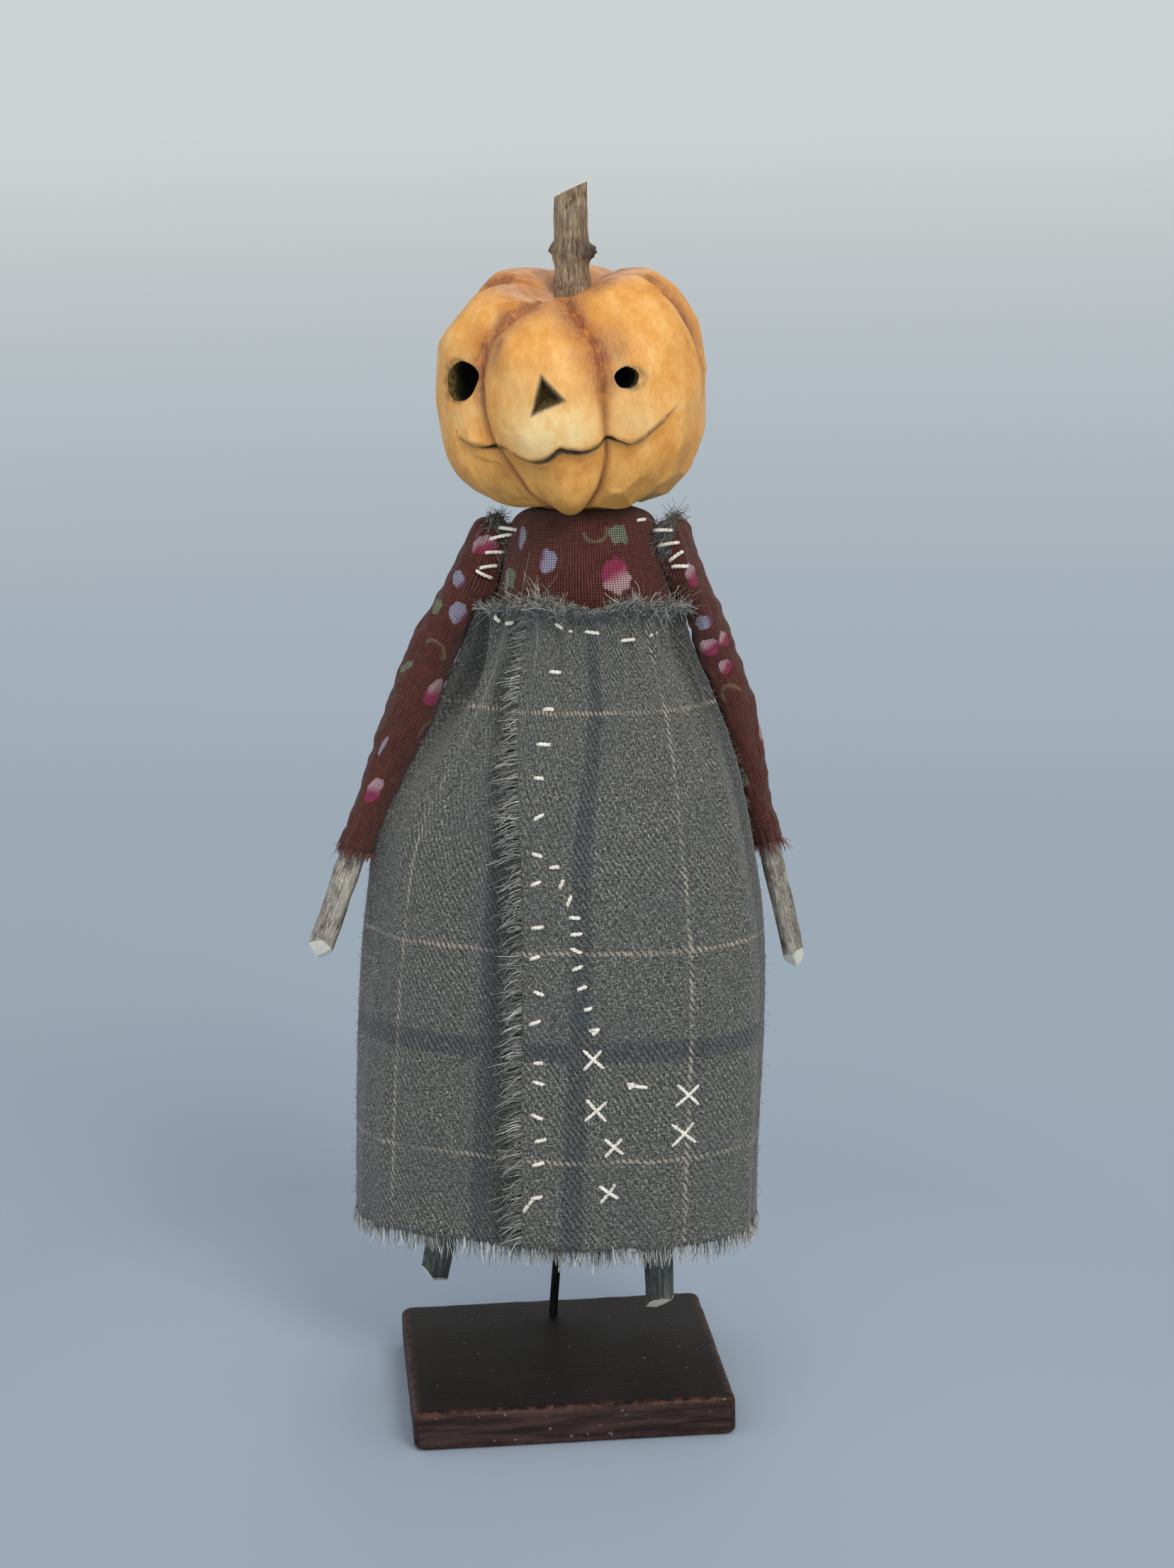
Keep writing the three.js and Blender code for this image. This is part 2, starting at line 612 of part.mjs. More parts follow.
function skirt() {
  const columns = 50;
  const drops = [-FRILL_HEIGHT / SKIRT_LENGTH, 0, 0.06, 0.13, 0.2, 0.28, 0.38, 0.52, 0.68, 0.84, 1];
  const points = [];
  [0, WOOL_THICKNESS].forEach((inset) =>
    drops.forEach((drop) => {
      for (let i = 0; i <= columns; i++) {
        const wound = (i / columns) * (2 * Math.PI + SKIRT_OVERLAP);
        points.push(skirtPoint(lapEdge(drop) + wound, drop, lapLift(wound) - inset));
      }
    }),
  );
  const width = columns + 1;
  const back = drops.length * width;
  const index = [];
  const quad = (a, b, c, d) => index.push(a, b, c, a, c, d);
  for (let r = 0; r + 1 < drops.length; r++) {
    for (let i = 0; i < columns; i++) {
      const a = r * width + i;
      quad(a, a + width, a + width + 1, a + 1);
      quad(back + a, back + a + 1, back + a + width + 1, back + a + width);
    }
    const left = r * width;
    const right = left + columns;
    quad(left, back + left, back + left + width, left + width);
    quad(right, right + width, back + right + width, back + right);
  }
  const hem = (drops.length - 1) * width;
  for (let i = 0; i < columns; i++) {
    quad(i, i + 1, back + i + 1, back + i);
    quad(hem + i, back + hem + i, back + hem + i + 1, hem + i + 1);
  }
  return geometryFrom(points, index);
}

// Arms: a calico sleeve over a roll of wool, with a bare twig for the hand

function sleeveSize(side, share) {
  const full = SLEEVE_HALF_WIDTH[side];
  const cuff = ARM_TWIG_DIAMETER[side] / 2 + FIT + CALICO_THICKNESS;
  const width = THREE.MathUtils.lerp(SLEEVE_TOP_HALF_WIDTH[side], full, smooth(0, 0.45, share));
  const depth = THREE.MathUtils.lerp(SLEEVE_TOP_HALF_DEPTH, full, smooth(0, 0.5, share));
  const taper = smooth(0.5, 0.95, share);
  return {
    halfWidth: THREE.MathUtils.lerp(width, cuff, taper),
    halfDepth: THREE.MathUtils.lerp(depth, cuff, taper),
  };
}

// The line of the arm from the shoulder to the wrist, hung clear of the body.
function armCurve(side) {
  const sign = SIDES[side];
  const start = SHOULDER_HALF_WIDTH + SHOULDER_GAP;
  const stops = [0, 0.12, 0.25, 0.4, 0.55, 0.7, 0.85, 1].map((share) => {
    const drop = share * WRIST_DROP;
    const y = ARM_SWING[side] * drop;
    const z = SHOULDER - drop;
    const hung = start + drop * Math.tan(ARM_SPREAD[side]) - WRIST_CURL[side] * share ** 2;
    const slant = 1 / Math.cos(ARM_SPREAD[side]);
    const clear = bodyReach(side, y, z) + ARM_CLEARANCE + slant * sleeveSize(side, share).halfWidth;
    return new THREE.Vector3(sign * Math.max(hung, share > 0 ? clear : 0), y, z);
  });
  return new THREE.CatmullRomCurve3(stops);
}

function armRing(side, curve, share, inset) {
  const size = sleeveSize(side, share);
  return ringAcross(
    curve.getPointAt(share),
    curve.getTangentAt(share),
    size.halfWidth - inset,
    size.halfDepth - inset,
    MESH_SIDES.sleeve,
  );
}

function armRings(side, from, to, rows, inset) {
  const curve = armCurve(side);
  return Array.from({ length: rows }, (_, k) =>
    armRing(side, curve, from + ((to - from) * k) / (rows - 1), inset),
  );
}

function sleeve(side) {
  const from = SLEEVE_START / WRIST_DROP;
  return wall(armRings(side, from, 1, 14, 0), armRings(side, from, 1, 14, CALICO_THICKNESS));
}

// The twig's line runs straight through the wrist, so the roll is drilled along it.
function twigLine(side) {
  const wrist = armCurve(side).getPoint(1);
  const spread = SIDES[side] * Math.tan(HAND_SPREAD[side]);
  const hand = new THREE.Vector3(spread, ARM_SWING[side], -1).normalize();
  const turn = new THREE.Quaternion().setFromUnitVectors(new THREE.Vector3(0, 0, -1), hand);
  return { top: wrist.clone().addScaledVector(hand, -TWIG_IN_SLEEVE), turn };
}

function woolRoll(side) {
  const curve = armCurve(side);
  const top = curve.getPointAt(0);
  const upwards = curve.getTangentAt(0).negate();
  const inset = CALICO_THICKNESS + FIT;
  const dome = [1, 0.6].map((share) => {
    const size = sleeveSize(side, 0);
    const slim = Math.sqrt(1 - (0.9 * share) ** 2);
    const centre = top.clone().addScaledVector(upwards, share * ROLL_DOME);
    const width = slim * (size.halfWidth - inset);
    const depth = slim * (size.halfDepth - inset);
    return ringAcross(centre, curve.getTangentAt(0), width, depth, MESH_SIDES.sleeve);
  });
  const roll = loft([...dome, ...armRings(side, 0, ROLL_END, 11, inset)]);
  const { top: seat, turn } = twigLine(side);
  const socket = drill(ARM_TWIG_DIAMETER[side] / 2 + FIT, 2 * TWIG_IN_SLEEVE);
  socket.translate(0, 0, FIT - TWIG_IN_SLEEVE).applyQuaternion(turn).translate(seat.x, seat.y, seat.z);
  return cut(roll, [socket]);
}

function armTwig(side) {
  const length = TWIG_IN_SLEEVE + HAND_LENGTH[side];
  const diameter = ARM_TWIG_DIAMETER[side];
  const stick = cut(twig(diameter, length, 0, []), whittleCuts(diameter, length, [20, 150, 265]));
  const { top, turn } = twigLine(side);
  return stick.applyQuaternion(turn).translate(top.x, top.y, top.z);
}

// Legs hang on one wire that crosses the torso's peg

const WIDEST_LEAN = Math.max(LEG_LEAN.left, LEG_LEAN.right);
const HIP_OFFSET =
  PEG_HALF_WIDTH + FIT + LEG_DIAMETER / 2 / Math.cos(WIDEST_LEAN) + LEG_PIN_INSET * Math.tan(WIDEST_LEAN);

function legTwig(side) {
  const turns = side === "left" ? [200, 310, 80] : [160, 20, 265];
  const stick = twig(LEG_DIAMETER, LEG_LENGTH, 0.04, [0.3, 0.62]);
  const leg = cut(stick, whittleCuts(LEG_DIAMETER, LEG_LENGTH, turns));
  leg.translate(0, 0, LEG_PIN_INSET).rotateY(-SIDES[side] * LEG_LEAN[side]);
  const hole = drill(HIP_WIRE_DIAMETER / 2 + FIT, 4 * LEG_DIAMETER).rotateY(Math.PI / 2);
  return cut(leg, [hole]).translate(SIDES[side] * HIP_OFFSET, -HIP_WIRE_FORWARD, HIP_HEIGHT);
}

function hipWire() {
  const reach = HIP_OFFSET + LEG_DIAMETER / 2 / Math.cos(WIDEST_LEAN) + HIP_WIRE_END_GAP;
  const at = (x, z) => new THREE.Vector3(x, -HIP_WIRE_FORWARD, HIP_HEIGHT + z);
  const path = bentPath(
    [at(-reach, HIP_WIRE_HOOK), at(-reach, 0), at(reach, 0), at(reach, HIP_WIRE_HOOK)],
    HIP_WIRE_DIAMETER,
  );
  return rodAlong(path, HIP_WIRE_DIAMETER, 30);
}

// Assembly

const stand = new THREE.Group();
stand.add(mesh("base_board", baseBoard(), "stained_board"));
stand.add(mesh("support_wire", supportWire(), "black_wire"));

const figure = new THREE.Group();
figure.position.y = -WIRE_BEHIND_TORSO;
figure.add(mesh("torso_core", torsoCore(), "bare_wood"));
figure.add(mesh("bodice", bodice(), "calico"));
figure.add(mesh("neck_dowel", neckDowel(), "bare_wood"));
figure.add(mesh("pumpkin_head", pumpkinHead(), "pumpkin_paint"));
figure.add(mesh("stem_twig", stemTwig(), "bark"));
figure.add(mesh("skirt", skirt(), "wool"));
figure.add(mesh("hip_wire", hipWire(), "black_wire"));
Object.keys(SIDES).forEach((side) => {
  figure.add(mesh(side + "_sleeve", sleeve(side), "calico"));
  figure.add(mesh(side + "_arm_wool_roll", woolRoll(side), "wool"));
  figure.add(mesh(side + "_arm_twig", armTwig(side), "bark"));
  figure.add(mesh(side + "_leg_twig", legTwig(side), "bark"));
});

// The figure turns on the wire's upright top.
const doll = new THREE.Group();
doll.position.set(TURN_AXIS.x, TURN_AXIS.y, BASE_THICKNESS);
doll.rotation.z = DOLL_TURN;
doll.add(figure);

const part = new THREE.Group();
part.add(stand, doll);

export default part;
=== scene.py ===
"""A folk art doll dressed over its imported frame: carved head, calico, wool skirt, twigs, thread and stand."""
import math
import bpy
import numpy as np
from mathutils import Matrix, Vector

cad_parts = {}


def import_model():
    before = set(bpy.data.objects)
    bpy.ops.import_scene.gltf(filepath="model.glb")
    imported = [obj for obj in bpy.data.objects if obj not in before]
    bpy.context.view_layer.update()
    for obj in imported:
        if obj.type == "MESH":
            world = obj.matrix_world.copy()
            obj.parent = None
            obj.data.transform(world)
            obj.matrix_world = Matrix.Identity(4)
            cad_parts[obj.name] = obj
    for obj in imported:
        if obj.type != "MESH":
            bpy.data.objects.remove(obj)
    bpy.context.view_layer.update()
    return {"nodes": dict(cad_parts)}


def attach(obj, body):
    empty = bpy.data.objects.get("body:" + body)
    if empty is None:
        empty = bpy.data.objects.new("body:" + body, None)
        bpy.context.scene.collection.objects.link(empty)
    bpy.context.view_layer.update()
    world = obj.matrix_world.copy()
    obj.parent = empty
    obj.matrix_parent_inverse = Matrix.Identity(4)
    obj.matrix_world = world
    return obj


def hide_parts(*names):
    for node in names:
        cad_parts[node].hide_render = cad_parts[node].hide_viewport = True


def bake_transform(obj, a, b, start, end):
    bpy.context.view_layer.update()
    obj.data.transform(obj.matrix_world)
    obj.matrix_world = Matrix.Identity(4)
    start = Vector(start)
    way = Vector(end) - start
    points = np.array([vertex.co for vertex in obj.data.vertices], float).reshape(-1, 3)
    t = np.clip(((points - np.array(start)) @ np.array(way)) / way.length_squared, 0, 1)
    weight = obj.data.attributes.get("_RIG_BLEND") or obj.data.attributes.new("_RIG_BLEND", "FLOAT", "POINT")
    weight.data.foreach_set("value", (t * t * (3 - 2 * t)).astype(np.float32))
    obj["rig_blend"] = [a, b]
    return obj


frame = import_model()

# Places in millimetres, in the doll's own frame: x to its left, y to its back, z above the board's top
BOARD_TOP = 7.2
TURN_X = 9.7
TURN_Y = 12.3
DOLL_TURN = math.radians(-20)
WIRE_BEHIND_TORSO = 2.5
HIP_HEIGHT = 116.896
PEG_TOP = 127.896
WAIST = 142.896
SHOULDER = 157.896
TORSO_TOP = 162.396
HEAD_CENTRE = 184.296
HEAD_SIDEWAYS = -1.4
SIDES = {"left": 1, "right": -1}


# Numbers

def smooth(low, high, value):
    share = np.clip((np.asarray(value, float) - low) / (high - low), 0, 1)
    return share * share * (3 - 2 * share)


def lerp(low, high, share):
    return low + (high - low) * share


def bell(off, width, power=2):
    """1 at no distance, easing to 0 a few widths away."""
    return np.exp(-((off / width) ** power))


def hashed(cell, seed):
    """A whole number for each cell of a grid, the same in every run."""
    x, y, z = (cell[..., i].astype(np.int64) for i in range(3))
    with np.errstate(over="ignore"):
        mixed = (x * 374761393 + y * 668265263 + z * 1442695041 + seed * 974711) & 0xFFFFFFFF
        mixed = ((mixed ^ (mixed >> 13)) * 1274126177) & 0xFFFFFFFF
        mixed = ((mixed ^ (mixed >> 15)) * 2246822519) & 0xFFFFFFFF
    return (mixed ^ (mixed >> 16)) & 0xFFFFFFFF


def noise(points, size, seed=0):
    """Gradient noise, from about -1 to 1, with features of that size."""
    place = np.asarray(points, float) / np.asarray(size, float)
    corner = np.floor(place)
    into = place - corner
    fade = into * into * into * (into * (into * 6 - 15) + 10)
    total = np.zeros(place.shape[:-1])
    for step in np.ndindex(2, 2, 2):
        code = hashed(corner + np.array(step), seed)
        turn = (code & 1023) * (2 * np.pi / 1024)
        tilt = ((code >> 10) & 1023) / 511.5 - 1
        level = np.sqrt(1 - np.clip(tilt, -1, 1) ** 2)
        away = into - np.array(step)
        slope = away[..., 0] * level * np.cos(turn) + away[..., 1] * level * np.sin(turn)
        slope = slope + away[..., 2] * tilt
        share = np.ones(place.shape[:-1])
        for axis, side in enumerate(step):
            share = share * (fade[..., axis] if side else 1 - fade[..., axis])
        total += share * slope
    return 1.6 * total


def noise_along(at, size, seed):
    """Noise along a line, at distances from its start."""
    return noise(np.stack([at, at * 0, at * 0], -1), size, seed)


def unit(vectors):
    length = np.linalg.norm(vectors, axis=-1, keepdims=True)
    return vectors / np.maximum(length, 1e-9)


def through(points, count):
    """A smooth line through control points, as that many points."""
    p = np.asarray(points, float)
    p = np.concatenate([2 * p[:1] - p[1:2], p, 2 * p[-1:] - p[-2:-1]])
    at = np.linspace(0, len(p) - 3 - 1e-9, count)
    i = at.astype(int)
    t = (at - i)[:, None]
    a, b, c, d = p[i], p[i + 1], p[i + 2], p[i + 3]
    line = 2 * b + (c - a) * t + (2 * a - 5 * b + 4 * c - d) * t * t
    return 0.5 * (line + (3 * b - a - 3 * c + d) * t * t * t)


def line_at(points, count, value):
    """The second number of a smooth line where its first is the value."""
    line = through(points, count)
    return np.interp(value, line[:, 0], line[:, 1])


def lengths_along(line):
    """How far along a line of points each of them lies."""
    return np.concatenate([[0], np.cumsum(np.linalg.norm(np.diff(line, axis=0), axis=1))])


def angle_near(angle, middle):
    return (angle - middle + np.pi) % (2 * np.pi) - np.pi


def turns(count, low=0.0):
    """Even angles once round, without the last."""
    return np.linspace(low, low + 2 * np.pi, count + 1)[:-1]


def spun(angle, radius, height):
    """Places round an upright axis."""
    return np.stack([np.cos(angle) * radius, np.sin(angle) * radius, height], -1)


def outward_at(angle):
    """Away from the doll, at an angle from its front towards its left."""
    return np.stack([np.sin(angle), -np.cos(angle), angle * 0], -1)


def sideways_at(angle):
    return np.stack([np.cos(angle), np.sin(angle), angle * 0], -1)


def to_row(points):
    """Doll frame in millimetres to the row's frame in metres."""
    p = np.asarray(points, float)
    c = math.cos(DOLL_TURN)
    s = math.sin(DOLL_TURN)
    x = p[..., 0]
    y = p[..., 1] - WIRE_BEHIND_TORSO
    row = [TURN_X + c * x - s * y, TURN_Y + s * x + c * y, p[..., 2] + BOARD_TOP]
    return np.stack(row, -1) * 0.001


def from_row(places):
    """The figure's own millimetres of places in the row."""
    origin = to_row([0, 0, 0])
    axes = [to_row(step) - origin for step in np.eye(3)]
    return np.stack([(places - origin) @ axis / (axis @ axis) for axis in axes], -1)


def grid_normals(points, wrap=False):
    """Normals of a grid of rows and columns; wrap says that its columns close on themselves."""
    along = np.gradient(points, axis=0)
    if wrap:
        across = (np.roll(points, -1, 1) - np.roll(points, 1, 1)) / 2
    else:
        across = np.gradient(points, axis=1)
    return unit(np.cross(across, along))


# Meshes

def grid_faces(rows, columns, wrap=False, start=0, flip=False):
    r, c = np.meshgrid(np.arange(rows - 1), np.arange(columns if wrap else columns - 1), indexing="ij")
    nxt = (c + 1) % columns
    quad = [r * columns + c, (r + 1) * columns + c, (r + 1) * columns + nxt, r * columns + nxt]
    faces = start + np.stack(quad, -1).reshape(-1, 4)
    return faces[:, ::-1] if flip else faces


def tube_faces(rows, columns):
    """The faces of a round grid that is closed at both ends."""
    ring = np.arange(columns)
    end = (rows - 1) * columns + ring
    return [grid_faces(rows, columns, True), ring[None].copy(), end[None, ::-1].copy()]


def make(name, points, faces, materials, body=None, maps=None, values=None, slot=None, node=None, row=False):
    """An object of these points and faces. Maps are coordinates by vertex, values are numbers by vertex."""
    points = np.asarray(points, float).reshape(-1, 3)
    points = points * 0.001 if row else to_row(points)
    groups = [np.asarray(f, int) for f in faces if len(f)]
    corners = np.concatenate([g.ravel() for g in groups])
    sizes = np.concatenate([np.full(len(g), g.shape[1]) for g in groups])
    data = bpy.data.meshes.new(name)
    data.vertices.add(len(points))
    data.vertices.foreach_set("co", points.ravel())
    data.loops.add(len(corners))
    data.loops.foreach_set("vertex_index", corners)
    data.polygons.add(len(sizes))
    data.polygons.foreach_set("loop_start", np.concatenate([[0], np.cumsum(sizes)[:-1]]))
    data.update(calc_edges=True)
    data.polygons.foreach_set("use_smooth", np.ones(len(sizes), bool))
    for title, at in (maps or {}).items():
        layer = data.uv_layers.new(name=title)
        layer.data.foreach_set("uv", np.asarray(at, float).reshape(-1, 2)[corners].ravel())
    for title, at in (values or {}).items():
        layer = data.attributes.new(title, "FLOAT", "POINT")
        layer.data.foreach_set("value", np.asarray(at, np.float32).ravel())
    made = bpy.data.objects.new(name, data)
    bpy.context.scene.collection.objects.link(made)
    for material in materials if isinstance(materials, list) else [materials]:
        data.materials.append(material)
    if body:
        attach(made, body)
    if node:
        flip_outward(made)
        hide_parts(node)
    return made


def flip_outward(made):
    """Turns the faces round if the closed shape reads inside out."""
    data = made.data
    data.calc_loop_triangles()
    corners = np.zeros(len(data.loop_triangles) * 3, int)
    data.loop_triangles.foreach_get("vertices", corners)
    places = np.zeros(len(data.vertices) * 3)
    data.vertices.foreach_get("co", places)
    a, b, c = places.reshape(-1, 3)[corners.reshape(-1, 3)].transpose(1, 0, 2)
    if (a * np.cross(b, c)).sum() < 0:
        data.flip_normals()


def flat_map(rows, columns, low=0.0, high=1.0):
    """A plain unwrapped map of a grid, in part of the square."""
    v, u = np.meshgrid(np.linspace(low, high, rows), np.linspace(0.002, 0.998, columns), indexing="ij")
    return np.stack([u, v], -1)


def cloth_sheet(name, outer, thickness, cloth, material, wrap=False, values=None, **more):
    """A sheet of cloth with two faces and an edge. Cloth is its own coordinates in millimetres."""
    rows, columns = outer.shape[:2]
    normal = grid_normals(outer, wrap)
    facing = (normal * (outer - outer.mean(1, keepdims=True))).sum(-1).mean()
    inner = outer - normal * np.sign(facing) * thickness
    count = rows * columns
    faces = [grid_faces(rows, columns, wrap, 0), grid_faces(rows, columns, wrap, count, True)]
    ends = [np.arange(columns), (rows - 1) * columns + np.arange(columns)]
    for k, edge in enumerate(ends):
        a = edge if wrap else edge[:-1]
        b = np.roll(edge, -1) if wrap else edge[1:]
        quad = np.stack([a, b, b + count, a + count], -1)
        faces.append(quad if k == 0 else quad[:, ::-1])
    if not wrap:
        for k, edge in enumerate([np.arange(rows) * columns, np.arange(rows) * columns + columns - 1]):
            quad = np.stack([edge[:-1], edge[1:], edge[1:] + count, edge[:-1] + count], -1)
            faces.append(quad[:, ::-1] if k == 0 else quad)
    both = [flat_map(rows, columns, 0.002, 0.496), flat_map(rows, columns, 0.504, 0.998)]
    maps = {"OFBake": np.concatenate(both), "cloth": np.concatenate([cloth, cloth])}
    values = {k: np.concatenate([v, v]) for k, v in (values or {}).items()}
    return make(name, np.concatenate([outer, inner]), faces, material, maps=maps, values=values, **more)


def strands(name, paths, radii, material, sides=3, tone=None, **more):
    """Many thin round strands in one mesh. Paths are strands of points."""
    paths = np.asarray(paths, float)
    count, steps = paths.shape[:2]
    radii = np.broadcast_to(np.asarray(radii, float), (count, steps))
    along = unit(np.gradient(paths, axis=1))
    side = unit(np.cross(along, np.array([0.31, 0.53, 0.79])))
    up = np.cross(side, along)
    turn = np.arange(sides) * 2 * np.pi / sides
    round_it = np.cos(turn)[:, None] * side[:, :, None] + np.sin(turn)[:, None] * up[:, :, None]
    points = paths[:, :, None] + radii[..., None, None] * round_it
    first = (np.arange(count) * steps * sides)[:, None, None]
    p, s = np.meshgrid(np.arange(steps - 1), np.arange(sides), indexing="ij")
    nxt = (s + 1) % sides
    quad = np.stack([p * sides + s, p * sides + nxt, (p + 1) * sides + nxt, (p + 1) * sides + s], -1)
    quads = (first + quad.reshape(1, -1, 4)).reshape(-1, 4)
    start = first[:, 0] + np.arange(sides)[::-1]
    end = first[:, 0] + (steps - 1) * sides + np.arange(sides)
    across = math.ceil(math.sqrt(count))
    cell = np.stack([np.arange(count) % across, np.arange(count) // across], -1)[:, None, None]
    within = np.stack(np.meshgrid(np.linspace(0.1, 0.9, sides), np.linspace(0.1, 0.9, steps)), -1)
    tone = np.full(count, 0.5) if tone is None else np.asarray(tone, float)
    values = {
        "tone": np.repeat(tone, steps * sides),
        "along": np.tile(np.repeat(np.linspace(0, 1, steps), sides), count),
    }
    maps = {"OFBake": (cell + within[None]) / across}
    return make(name, points, [quads, start, end], material, maps=maps, values=values, **more)


# Materials

def tint(code):
    parts = [int(code[i:i + 2], 16) / 255 for i in (1, 3, 5)]
    return [*(c / 12.92 if c < 0.04045 else ((c + 0.055) / 1.055) ** 2.4 for c in parts), 1.0]


class Value:
    """What a node gives, which can be added, subtracted and multiplied by further nodes."""

    def __init__(self, nodes, socket):
        self.nodes = nodes
        self.socket = socket

    def __add__(self, other):
        return self.nodes.math("ADD", self, other)

    def __radd__(self, other):
        return self.nodes.math("ADD", other, self)

    def __sub__(self, other):
        return self.nodes.math("SUBTRACT", self, other)

    def __rsub__(self, other):
        return self.nodes.math("SUBTRACT", other, self)

    def __mul__(self, other):
        return self.nodes.math("MULTIPLY", self, other)


class Nodes:
    """The node tree of a material or a world."""

    def __init__(self, owner):
        owner.use_nodes = True
        self.tree = owner.node_tree
        self.tree.nodes.clear()

    def join(self, socket, value):
        if isinstance(value, Value):
            self.tree.links.new(value.socket, socket)
        elif value is not None:
            socket.default_value = value

    def node(self, kind, *inputs, out=0, **settings):
        made = self.tree.nodes.new("ShaderNode" + kind)
        for key, value in settings.items():
            setattr(made, key, value)
        for i, value in enumerate(inputs):
            self.join(made.inputs[i], value)
        return Value(self, made.outputs[out]) if len(made.outputs) else None

    def math(self, operation, *inputs):
        return self.node("Math", *inputs, operation=operation)


class Finish(Nodes):
    """A material made of nodes."""

    def __init__(self, name, roughness=0.8, **settings):
        self.made = bpy.data.materials.new(name)
        super().__init__(self.made)
        out = self.tree.nodes.new("ShaderNodeOutputMaterial")
        self.shader = self.tree.nodes.new("ShaderNodeBsdfPrincipled")
        self.tree.links.new(self.shader.outputs[0], out.inputs[0])
        self.put("Roughness", roughness)
        for key, value in settings.items():
            self.put(key.replace("_", " ").title().replace("Ior", "IOR"), value)

    def put(self, title, value):
        self.join(self.shader.inputs[title], value)

    def step(self, low, high, value):
        return self.node("MapRange", value, low, high, 0.0, 1.0, interpolation_type="SMOOTHSTEP")

    def mix(self, share, a, b):
        made = self.tree.nodes.new("ShaderNodeMix")
        made.data_type = "RGBA"
        made.clamp_factor = True
        for index, value in ((0, share), (6, a), (7, b)):
            self.join(made.inputs[index], tint(value) if isinstance(value, str) else value)
        return Value(self, made.outputs[2])

    def ramp(self, value, *stops):
        made = self.tree.nodes.new("ShaderNodeValToRGB")
        self.join(made.inputs[0], value)
        marks = made.color_ramp.elements
        while len(marks) < len(stops):
            marks.new(0.5)
        for mark, (at, code) in zip(marks, stops):
            mark.position = at
            mark.color = tint(code)
        return Value(self, made.outputs[0])

    def value(self, name):
        return self.node("Attribute", attribute_name=name, out=2)

    def cloth(self):
        made = self.node("SeparateXYZ", self.node("UVMap", uv_map="cloth")).socket.node
        return Value(self, made.outputs[0]), Value(self, made.outputs[1])

    def grain(self, sizes, detail=2.0, rough=0.5):
        """Noise through the solid, with features of a size in millimetres or of sizes along x, y and z."""
        sizes = sizes if isinstance(sizes, tuple) else (sizes,) * 3
        here = self.node("TexCoord", out=3)
        here = self.node("VectorMath", here, tuple(1000.0 / size for size in sizes), operation="MULTIPLY")
        return self.node("TexNoise", here, None, 1.0, detail, rough, noise_dimensions="3D")

    def weave(self, u, v, layer=0.0, scale=1.0, detail=2.0, rough=0.5):
        """Noise over the cloth, and another one in each layer."""
        spot = self.node("CombineXYZ", u, v, layer)
        return self.node("TexNoise", spot, None, scale, detail, rough, noise_dimensions="3D")

    def stripe(self, at, centre, half, soft, pitch=None):
        """A soft stripe, or one in every pitch."""
        off = at - centre
        off = self.math("PINGPONG", off, pitch / 2) if pitch else self.math("ABSOLUTE", off)
        return self.step(half + soft, half - soft, off)

    def bump(self, height, strength, millimetres):
        made = self.tree.nodes.new("ShaderNodeBump")
        self.join(made.inputs["Height"], height)
        made.inputs["Strength"].default_value = strength
        made.inputs["Distance"].default_value = millimetres * 0.001
        self.put("Normal", Value(self, made.outputs[0]))


# Wool plaid, in cloth millimetres
TWILL_ACROSS = 1.18
TWILL_DOWN = 1.66
PLAID_REPEAT = 41.2
PALE_LINE_ACROSS = 30.5
PALE_LINES_DOWN = (17.0, 61.3, 101.5)
PALE_LINE_HALF = 0.34
DARK_BAND_ACROSS = 9.9
DARK_BAND_DOWN = 80.3
DARK_BAND_HALF = 1.9


